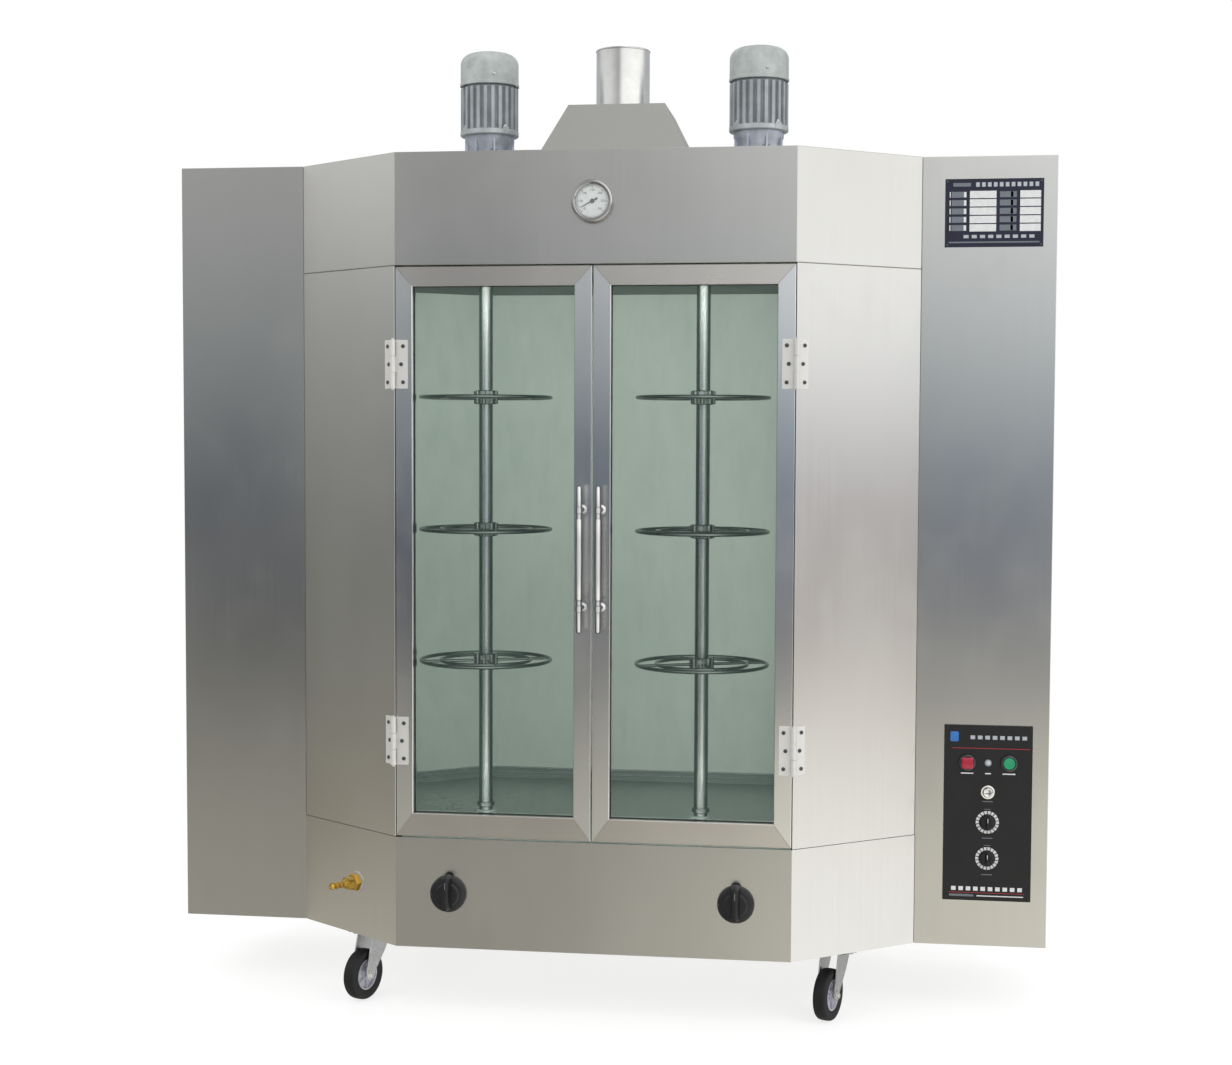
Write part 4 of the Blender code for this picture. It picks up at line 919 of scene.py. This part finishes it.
def dashes(shape, x, z, face, size, count, look):
    """A row of equal plain marks."""
    step = size[0] / count
    for i in range(count):
        spot = x + step * (i - (count - 1) / 2)
        panel_mark(shape, spot, z, face, rectangle(step * 0.62, size[1]), look)


def make_panel_print():
    """Printed marks on the control panel: dial scales, red rules, plain bars and a blue square."""
    low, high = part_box("control_panel")
    x = middle("control_panel").x
    lamp_z = middle("power_lamp").z
    marks = Shape()
    white, red, label, blue, faded = range(5)

    def bar(dx, z, width, height, look):
        panel_mark(marks, x + dx, z, PANEL_FACE, rectangle(width, height), look)

    tooth = [(0.0174, -0.0024), (0.0238, -0.0031), (0.0238, 0.0031), (0.0174, 0.0024)]
    for name in ("upper_dial", "lower_dial"):
        dial_z = middle(name).z
        for i in range(DIAL_MARKS):
            spot = front(x, PANEL_FACE, dial_z) @ turned(360 * i / DIAL_MARKS)
            marks.prism(tooth, -0.0001, 0.00025, spot, white)
        bar(0, dial_z + 0.0275, 0.014, 0.0012, label)
    bar(0.006, lamp_z + 0.0305, 0.16, 0.0014, red)
    for dx, width in ((-0.0432, 0.026), (0.0, 0.012), (0.0432, 0.026)):
        bar(dx, lamp_z - 0.0225, width, 0.0026, white)
    for name, drop in (("lamp_switch", 0.0195), ("upper_dial", 0.0335), ("lower_dial", 0.0345)):
        bar(0, middle(name).z - drop, 0.022, 0.0018, label)
    dashes(marks, x + 0.021, high.z - 0.0255, PANEL_FACE, (0.122, 0.0078), 8, faded)
    dashes(marks, x, low.z + 0.025, PANEL_FACE, (0.152, 0.0084), 10, white)
    bar(0, low.z + 0.0165, 0.156, 0.0012, red)
    bar(-0.052, low.z + 0.0105, 0.05, 0.0046, label)
    bar(0.028, low.z + 0.01, 0.096, 0.0022, white)
    square = rounded(0.017, 0.021, 0.003)
    panel_mark(marks, x - 0.07, high.z - 0.0245, PANEL_FACE, square, blue)
    looks = ("white", "redline", "label", "emblem", "faded")
    piece("control_panel_print", "cabin", marks, looks)

    screws, inset = Shape(), 0.006
    for sx in (low.x + inset, high.x - inset):
        for sz in (low.z + inset, high.z - inset):
            screws.screw(0.003, front(sx, PANEL_FACE, sz))
    piece("control_panel_screws", "cabin", screws, ("black", "dark"))


def make_rating_plate():
    """The data plate's blank cells and rows of plain marks, with a rivet in each corner."""
    low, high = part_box("rating_plate")
    spot = middle("rating_plate")
    width, height = high.x - low.x, high.z - low.z
    cells = Shape()
    rows, top, bottom = 5, 0.17, 0.78
    row = (bottom - top) * height / rows
    white, rivet, label, faded = range(4)

    def cell(left, right, down, tall, look):
        """A mark between two shares of the plate's width, this far below its top edge."""
        x = low.x + width * (left + right) / 2
        panel_mark(cells, x, high.z - down, low.y, rectangle(width * (right - left), tall), look)

    for i in range(rows):
        down = top * height + (i + 0.5) * row
        for left, right in ((0.25, 0.52), (0.76, 0.97)):
            cell(left, right, down, row - 0.0022, white)
        for left, right in ((0.055, 0.19), (0.555, 0.725)):
            cell(left, right, down, row - 0.005, label)
        for left, right in ((0.045, 0.065), (0.19, 0.215), (0.665, 0.69)):
            cell(left, right, down, row - 0.006, white)
    dashes(cells, spot.x + 0.026, high.z - 0.012, low.y, (0.132, 0.009), 11, faded)
    cell(0.08, 0.26, 0.012, 0.0075, label)
    dashes(cells, spot.x + 0.01, low.z + 0.0215, low.y, (0.15, 0.0066), 9, faded)
    cell(0.04, 0.96, 0.93 * height, 0.003, label)
    inset = 0.0048
    for dx in (inset - width / 2, width / 2 - inset):
        for dz in (inset - height / 2, height / 2 - inset):
            corner = front(spot.x + dx, low.y, spot.z + dz)
            cells.turn([(0, 0), (0.0022, 0), (0.0017, 0.0008), (0, 0.0011)], 16, corner, rivet)
    looks = ("white", "case", "label", "faded")
    piece("rating_plate_cells", "cabin", cells, looks)


def node_front(name):
    """The place of a device on the control panel, at the panel's face, pointing to the front."""
    spot = middle(name)
    return front(spot.x, PANEL_FACE, spot.z)


def make_push_button(name, colour):
    """A push button: a square red cap or a dished green one, and its bezel."""
    place = node_front(name)
    if colour == "red":
        height, width = 0.0125, 0.0235
        cap = Shape().rod(0.0122, -0.006, 0.0092, 40, place)
        rows = []
        for z, size in ((0.0084, width), (height - 0.0014, width), (height - 0.0005, 0.0222),
                        (height, 0.019)):
            rows.append([(x, y, z) for x, y in rounded(size, size, size * 0.16)])
        cap.loft(rows, place)
    else:
        height = 0.006
        profile = [(0, -0.006), (0.0122, -0.006), (0.0122, height - 0.0016)]
        profile += [(0.0112, height - 0.0003), (0.0095, height), (0.0088, height - 0.0006)]
        cap = Shape().turn(profile + [(0, height - 0.0012)], 48, place)
    piece(f"{name}_cap_moulded", f"{name}_cap", cap, (colour,), [name])
    profile = [(0.0128, 0.0038), (0.0156, 0.0038), (0.016, 0.003), (0.016, 0.0002)]
    profile += [(0.0178, 0.0002), (0.0178, 0.0016), (0.017, 0.0042), (0.0158, 0.005)]
    profile += [(0.0132, 0.005), (0.0128, 0.0046)]
    bezel = Shape().turn(profile, 48, place, closed=True)
    piece(f"{name}_bezel", "cabin", bezel, ("bezel",))


def make_lamp():
    """The round lamp, with a dark ring."""
    place = node_front("power_lamp")
    profile = [(0, -0.01), (0.0058, -0.01), (0.0058, 0.0018), (0.0052, 0.0038)]
    profile += [(0.0036, 0.0054), (0, 0.0062)]
    lamp = Shape().turn(profile, 32, place)
    lamp.ring(0.0066, 0.0009, 40, 10, place @ at(0, 0, 0.0006), 1)
    looks = ("lamp", "core")
    piece("power_lamp_lens", "cabin", lamp, looks, ["power_lamp"])


def make_switch():
    """The small bright push switch, in its nut."""
    place = node_front("lamp_switch")
    profile = [(0, -0.009), (0.0106, -0.009), (0.0106, 0.007), (0.0098, 0.0088)]
    profile += [(0.0082, 0.0096), (0.007, 0.009), (0.004, 0.0082), (0, 0.008)]
    switch = Shape().turn(profile, 48, place)
    piece("lamp_switch_cap_turned", "lamp_switch_cap", switch,
          ("bright",), ["lamp_switch"])
    profile = [(0.0113, 0.0001), (0.0146, 0.0001), (0.0146, 0.0016), (0.0136, 0.0026)]
    nut = Shape().turn(profile + [(0.0113, 0.0026)], 40, place, closed=True)
    piece("lamp_switch_nut", "cabin", nut, ("chrome",))


def make_dial(name):
    """A dial: a ribbed round base, and a raised grip with a white line."""
    place = node_front(name)
    profile = [(0, -0.013), (0.0048, -0.013), (0.0048, GAP), (0.016, GAP), (0.0165, 0.0008)]
    profile += [(0.0165, 0.0034), (0.015, 0.0046), (0.0142, 0.006), (0.0132, 0.0098)]
    profile += [(0.0122, 0.0106), (0, 0.0108)]
    dial = Shape().turn(profile, 48, place)
    grip = [(0.009, 0.0072, 0.0256), (0.0165, 0.0056, 0.025), (0.0184, 0.0044, 0.0236)]
    rows = []
    for z, width, length in grip + [(0.019, 0.0026, 0.022)]:
        rows.append([(x, y, z) for x, y in rounded(width, length, width * 0.4, 4)])
    dial.loft(rows, place)
    dial.box((-0.0006, 0.0006), (0.002, 0.011), (0.0185, 0.0192), place, 1)
    for i in range(24):
        dial.box((0.0126, 0.0144), (-0.0007, 0.0007), (0.0048, 0.0094), place @ turned(15 * i))
    looks = ("black", "white")
    piece(f"{name}_moulded", f"{name}_knob", dial, looks, [name], 0.0002)


# ---------- Casters ----------
def make_fork(corner, place, back, axle, across):
    """The pressed fork, with its ball-race cup, cheeks and axle bolt."""
    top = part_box(f"{corner}_caster_fork")[1].z
    race = [(0.0066, top), (0.032, top), (0.0345, top - 0.0014), (0.0345, top - 0.006)]
    race += [(0.031, top - 0.0095), (0.019, top - 0.011), (0.0066, top - 0.011)]
    fork = Shape().turn(race, 56, place, 2, closed=True)
    wide, thin, boss, fore, aft = 0.018, 0.0028, 0.0145, 0.028, -0.032
    cheek = [(fore, top - 0.004), (aft, top - 0.004), (aft - 0.003, top - 0.014)]
    cheek += [(back - boss, axle + 0.01), (back - 0.015, axle - 0.002)]
    for i in range(1, 6):
        t = math.pi * (1 - i / 6)
        cheek.append((back + boss * math.cos(t), axle - 0.0105 * math.sin(t)))
    cheek += [(back + 0.015, axle + 0.004), (0.012, top - 0.046), (fore, top - 0.022)]
    for ends in ((-wide - thin, -wide), (wide, wide + thin)):
        fork.loft([[(x, a, b) for a, b in cheek] for x in ends], place)
    fork.box((-wide - thin, wide + thin), (aft, fore), (top - 0.0042, top - 0.0078), place)
    fork.rod(0.0046, -0.0235, 0.0235, 20, across, 1)
    for flip in (0, 180):
        fork.bolt(0.011, 0.0052, across @ turned(flip, "X") @ at(0, 0, wide + thin), 1)
    looks = ("zinc", "bright", "case")
    piece(f"{corner}_caster_fork_pressed", f"{corner}_fork", fork, looks,
          [f"{corner}_caster_fork"], 0.0006)


def make_wheel(corner, radius, across):
    """The wheel: a rubber tyre on a spoked core, with two washers."""
    half, rubber = 0.015, 0.021
    rim = radius - rubber
    tyre = [(rim, half - 0.003), (radius - 0.01, half), (radius - 0.003, half - 0.0012)]
    tyre += [(radius - 0.001, half - 0.004), (radius - 0.0002, half - 0.008), (radius, 0)]
    tyre += [(r, -h) for r, h in reversed(tyre[:-1])]
    wheel = Shape().turn(tyre, 72, across, closed=True)
    core = [(0.0052, half), (0.012, half), (0.0135, half - 0.001), (0.014, half - 0.0075)]
    core += [(rim - 0.005, half - 0.0085), (rim - 0.003, half - 0.0035), (rim + 0.0001, half - 0.003)]
    core += [(r, -h) for r, h in reversed(core)]
    wheel.turn(core, 72, across, 1, closed=True)
    spoke = half - 0.0045
    for i in range(6):
        place = across @ turned(60 * i)
        wheel.box((0.013, rim - 0.004), (-0.0016, 0.0016), (-spoke, spoke), place, 1)
    washer = [(0.0052, 0), (0.01, 0), (0.01, 0.0016), (0.0052, 0.0016)]
    for sign in (-1, 1):
        place = across @ at(0, 0, sign * (half + 0.0006) - 0.0008)
        wheel.turn(washer, 28, place, 2, closed=True)
    looks = ("tyre", "wheel", "zinc")
    piece(f"{corner}_caster_wheel_tyred", f"{corner}_wheel", wheel, looks,
          [f"{corner}_caster_wheel"])


def make_caster(corner):
    """A swivel caster: its fork, its wheel, and four bolts in the plate above."""
    pin = Vector(JOINTS[f"{corner}_caster_swivel"]["pos_m"])
    hub = Vector(JOINTS[f"{corner}_wheel_roll"]["pos_m"])
    trail = Vector((hub.x - pin.x, hub.y - pin.y, 0))
    heading = math.atan2(trail.y, trail.x) + math.pi / 2
    place = at(pin.x, pin.y, 0) @ Matrix.Rotation(heading, 4, "Z")
    across = place @ at(0, -trail.length, hub.z) @ turned(90, "Y")
    make_fork(corner, place, -trail.length, hub.z, across)
    make_wheel(corner, hub.z, across)
    bolts, reach, plate = Shape(), 0.033, 0.146
    for dx in (-reach, reach):
        for dy in (-reach, reach):
            bolts.bolt(0.009, 0.0058, at(pin.x + dx, pin.y + dy, plate) @ turned(180, "X"))
    piece(f"{corner}_caster_plate_bolts", "cabin", bolts, ("zinc",))


# ---------- Light, floor and camera ----------
# What the steel reflects on each side of the studio, from the floor up: the sine of the
# height above the horizon, and the colour there at half strength.
STUDIO = {
    "left": [(-0.9, (0.16, 0.15, 0.13)), (-0.26, (0.31, 0.295, 0.26)), (-0.2, (0.15, 0.135, 0.1)),
             (-0.14, (0.135, 0.135, 0.125)), (-0.03, (0.11, 0.112, 0.112)), (0.03, (0.19, 0.2, 0.195)),
             (0.08, (0.24, 0.24, 0.24)), (0.14, (0.42, 0.42, 0.42)), (0.6, (0.46, 0.46, 0.46))],
    "front": [(-0.9, (0.7, 0.68, 0.63)), (-0.25, (0.78, 0.76, 0.67)), (-0.185, (0.9, 0.86, 0.73)),
              (-0.15, (0.24, 0.24, 0.23)), (-0.09, (0.13, 0.13, 0.16)), (-0.03, (0.09, 0.12, 0.21)),
              (0.00, (0.24, 0.3, 0.35)), (0.03, (0.44, 0.51, 0.54)), (0.07, (0.66, 0.7, 0.74)),
              (0.13, (0.88, 0.88, 0.88)), (0.6, (0.98, 0.98, 0.98))],
    "right": [(-0.9, (0.56, 0.56, 0.55)), (-0.25, (0.66, 0.66, 0.66)), (-0.19, (0.68, 0.66, 0.62)),
              (-0.14, (0.42, 0.4, 0.37)), (-0.09, (0.2, 0.175, 0.17)), (-0.04, (0.21, 0.195, 0.21)),
              (0.016, (0.5, 0.51, 0.53)), (0.07, (0.76, 0.76, 0.78)), (0.12, (0.6, 0.6, 0.58)),
              (0.6, (0.64, 0.64, 0.64))],
    "rear": [(-0.9, (0.2, 0.195, 0.185)), (-0.25, (0.26, 0.255, 0.24)), (-0.12, (0.17, 0.17, 0.17)),
             (0.02, (0.15, 0.16, 0.18)), (0.12, (0.24, 0.25, 0.26)), (0.6, (0.34, 0.34, 0.34))],
}


def make_world():
    """Soft studio surroundings: white behind the oven, and broad bands for the steel to reflect."""
    world = bpy.data.worlds.new("studio")
    bpy.context.scene.world = world
    world.use_nodes = True
    tree = world.node_tree
    tree.nodes.clear()

    def node(kind):
        return tree.nodes.new("ShaderNode" + kind)

    def ramp(value, stops, low, high):
        spread = node("MapRange")
        spread.inputs["From Min"].default_value = low
        spread.inputs["From Max"].default_value = high
        tree.links.new(value, spread.inputs["Value"])
        colours = node("ValToRGB")
        band = colours.color_ramp
        while len(band.elements) < len(stops):
            band.elements.new(0.5)
        for element, (spot, colour) in zip(band.elements, stops):
            element.position = (spot - low) / (high - low)
        for element, (spot, colour) in zip(band.elements, stops):
            element.color = (*colour, 1)
        tree.links.new(spread.outputs["Result"], colours.inputs["Fac"])
        return colours.outputs["Color"]

    def mixed(a, b, factor=1.0, kind="MULTIPLY"):
        mix = node("Mix")
        mix.data_type = "RGBA"
        mix.blend_type = kind
        if isinstance(factor, float):
            mix.inputs["Factor"].default_value = factor
        else:
            tree.links.new(factor, mix.inputs["Factor"])
        tree.links.new(a, mix.inputs[6])
        tree.links.new(b, mix.inputs[7])
        return mix.outputs[2]

    where = node("TexCoord").outputs["Generated"]
    split = node("SeparateXYZ")
    tree.links.new(where, split.inputs[0])
    heights = {side: ramp(split.outputs["Z"], stops, -1.0, 1.0) for side, stops in STUDIO.items()}
    grey = [(-0.31, 0.3), (-0.25, 0.18), (-0.15, 0.24), (-0.09, 0.31)]
    grey += [(-0.045, 0.35), (0.01, 0.7), (0.09, 0.66)]
    front_tone = ramp(split.outputs["X"], [(x, (g, g, g)) for x, g in grey], -1.0, 1.0)
    black, white = (0, 0, 0), (1, 1, 1)
    to_left = ramp(split.outputs["X"], [(-0.75, white), (-0.36, black)], -1.0, 1.0)
    to_right = ramp(split.outputs["X"], [(0.25, black), (0.75, white)], -1.0, 1.0)
    to_rear = ramp(split.outputs["Y"], [(0.15, black), (0.45, white)], -1.0, 1.0)
    bands = mixed(heights["front"], front_tone)
    bands = mixed(bands, heights["left"], to_left, "MIX")
    bands = mixed(bands, heights["right"], to_right, "MIX")
    bands = mixed(bands, heights["rear"], to_rear, "MIX")
    reflected = node("Background")
    reflected.inputs["Strength"].default_value = 2.0
    tree.links.new(bands, reflected.inputs["Color"])
    soft = node("Background")
    soft.inputs["Color"].default_value = (0.98, 0.99, 1.0, 1)
    soft.inputs["Strength"].default_value = 0.75
    behind = node("Background")
    behind.inputs["Color"].default_value = (1, 1, 1, 1)
    behind.inputs["Strength"].default_value = 1.0
    path = node("LightPath")
    first = node("MixShader")
    tree.links.new(path.outputs["Is Diffuse Ray"], first.inputs[0])
    tree.links.new(reflected.outputs[0], first.inputs[1])
    tree.links.new(soft.outputs[0], first.inputs[2])
    second = node("MixShader")
    tree.links.new(path.outputs["Is Camera Ray"], second.inputs[0])
    tree.links.new(first.outputs[0], second.inputs[1])
    tree.links.new(behind.outputs[0], second.inputs[2])
    output = node("OutputWorld")
    tree.links.new(second.outputs[0], output.inputs["Surface"])


def make_light(name, place, target, size, power, colour=(1, 1, 1)):
    """A soft rectangular light, which neither the camera nor the steel sees."""
    lamp = bpy.data.lights.new(name, "AREA")
    lamp.shape = "RECTANGLE"
    lamp.size, lamp.size_y = size
    lamp.energy = power
    lamp.color = colour
    obj = bpy.data.objects.new(name, lamp)
    obj.location = place
    obj.rotation_euler = (Vector(target) - Vector(place)).to_track_quat("-Z", "Y").to_euler()
    obj.visible_camera = False
    obj.visible_glossy = False
    bpy.context.scene.collection.objects.link(obj)
    return obj


def make_stage():
    """A pale round floor that fades into the white surroundings."""
    sides, reach = 96, 6.0
    floor = Shape()
    floor.turn([(0, -0.01), (reach, -0.01), (reach, -0.0005), (0, -0.0005)], sides)
    look = Look("pale_floor", (0.26, 0.26, 0.258), 0.0, 0.6)
    look.set("Emission Color", (1, 1, 1, 1))
    look.set("Emission Strength", 0.76)
    where = look.node("SeparateXYZ", Vector=look.where)
    squares = [look.sum(where.outputs[i], where.outputs[i], "MULTIPLY") for i in (0, 1)]
    distance = look.sum(look.sum(*squares), 0.5, "POWER")
    look.set("Alpha", look.spread(distance, 1.0, 0.0, 1.2, 2.6))
    patch = look.noise((3, 3, 3), 3.0)
    look.set("Roughness", look.spread(patch, 0.5, 0.7))
    mesh = bpy.data.meshes.new("studio_floor")
    mesh.from_pydata(floor.points, [], floor.faces)
    mesh.materials.append(look.material)
    obj = bpy.data.objects.new("studio_floor", mesh)
    bpy.context.scene.collection.objects.link(obj)
    obj.visible_glossy = False


def make_lights():
    """Key, fill and rear light, and a weak pair at the top and the foot of each half of the cabin."""
    make_light("key", (-2.6, -3.6, 4.2), (0, 0, 1.0), (3.0, 3.0), 95)
    make_light("fill", (3.4, -2.6, 3.4), (0, 0, 1.0), (2.6, 2.6), 75)
    make_light("rear", (0.5, 4.0, 3.8), (0, 0, 1.0), (3.0, 2.0), 70)
    for side in (-1, 1):
        make_light(f"cabin_top_{side}", (side * 0.25, FRONT_Y + 0.1, ROOF_LOW.z - 0.03),
                   (side * 0.28, FRONT_Y + 0.75, 1.3), (0.4, 0.1), 2.4, (0.97, 1.0, 0.96))
        make_light(f"cabin_low_{side}", (side * 0.22, FRONT_Y + 0.09, 0.44),
                   (side * 0.3, FRONT_Y + 0.85, 0.45), (0.36, 0.08), 0.9, (0.95, 1.0, 0.97))


def make_camera():
    """The camera at the photograph's viewing angle."""
    turns = ((0.0039, "Y"), (0.0537, "X"), (-0.1369, "Z"))
    roll, pitch, yaw = [Matrix.Rotation(angle, 3, axis) for angle, axis in turns]
    to_world = (roll @ pitch @ yaw).transposed()
    columns = [to_world @ Vector(v) for v in ((1, 0, 0), (0, 0, 1), (0, -1, 0))]
    pose = Matrix([[c[i] for c in columns] for i in range(3)]).to_4x4()
    pose.translation = (0.574, FRONT_Y - 3.805, 1.230)
    lens = bpy.data.cameras.new("camera")
    lens.sensor_width = 36.0
    lens.lens = 55.1
    obj = bpy.data.objects.new("camera", lens)
    obj.matrix_world = pose
    bpy.context.scene.collection.objects.link(obj)
    bpy.context.scene.camera = obj


def build():
    """Makes every piece, then the studio."""
    dress_cad()
    make_liner()
    for side, word in ((-1, "left"), (1, "right")):
        make_door_frame(word)
        make_handle(word)
        for level in ("upper", "lower"):
            make_hinge_screws(word, side, level)
        make_motor(word)
        make_cowl(word)
        make_spit(word)
        for level in ("top", "middle", "bottom"):
            make_carrier(word, level)
        make_burner_knob(word)
    make_flue()
    make_hood_flange()
    make_gas_inlet()
    make_gauge()
    make_panel_print()
    make_rating_plate()
    make_push_button("stop_button", "red")
    make_push_button("start_button", "green")
    make_lamp()
    make_switch()
    make_dial("upper_dial")
    make_dial("lower_dial")
    for corner in ("front_left", "front_right", "rear_left", "rear_right"):
        make_caster(corner)
    make_world()
    make_stage()
    make_lights()
    make_camera()
    bpy.context.scene.view_settings.view_transform = "Standard"


build()
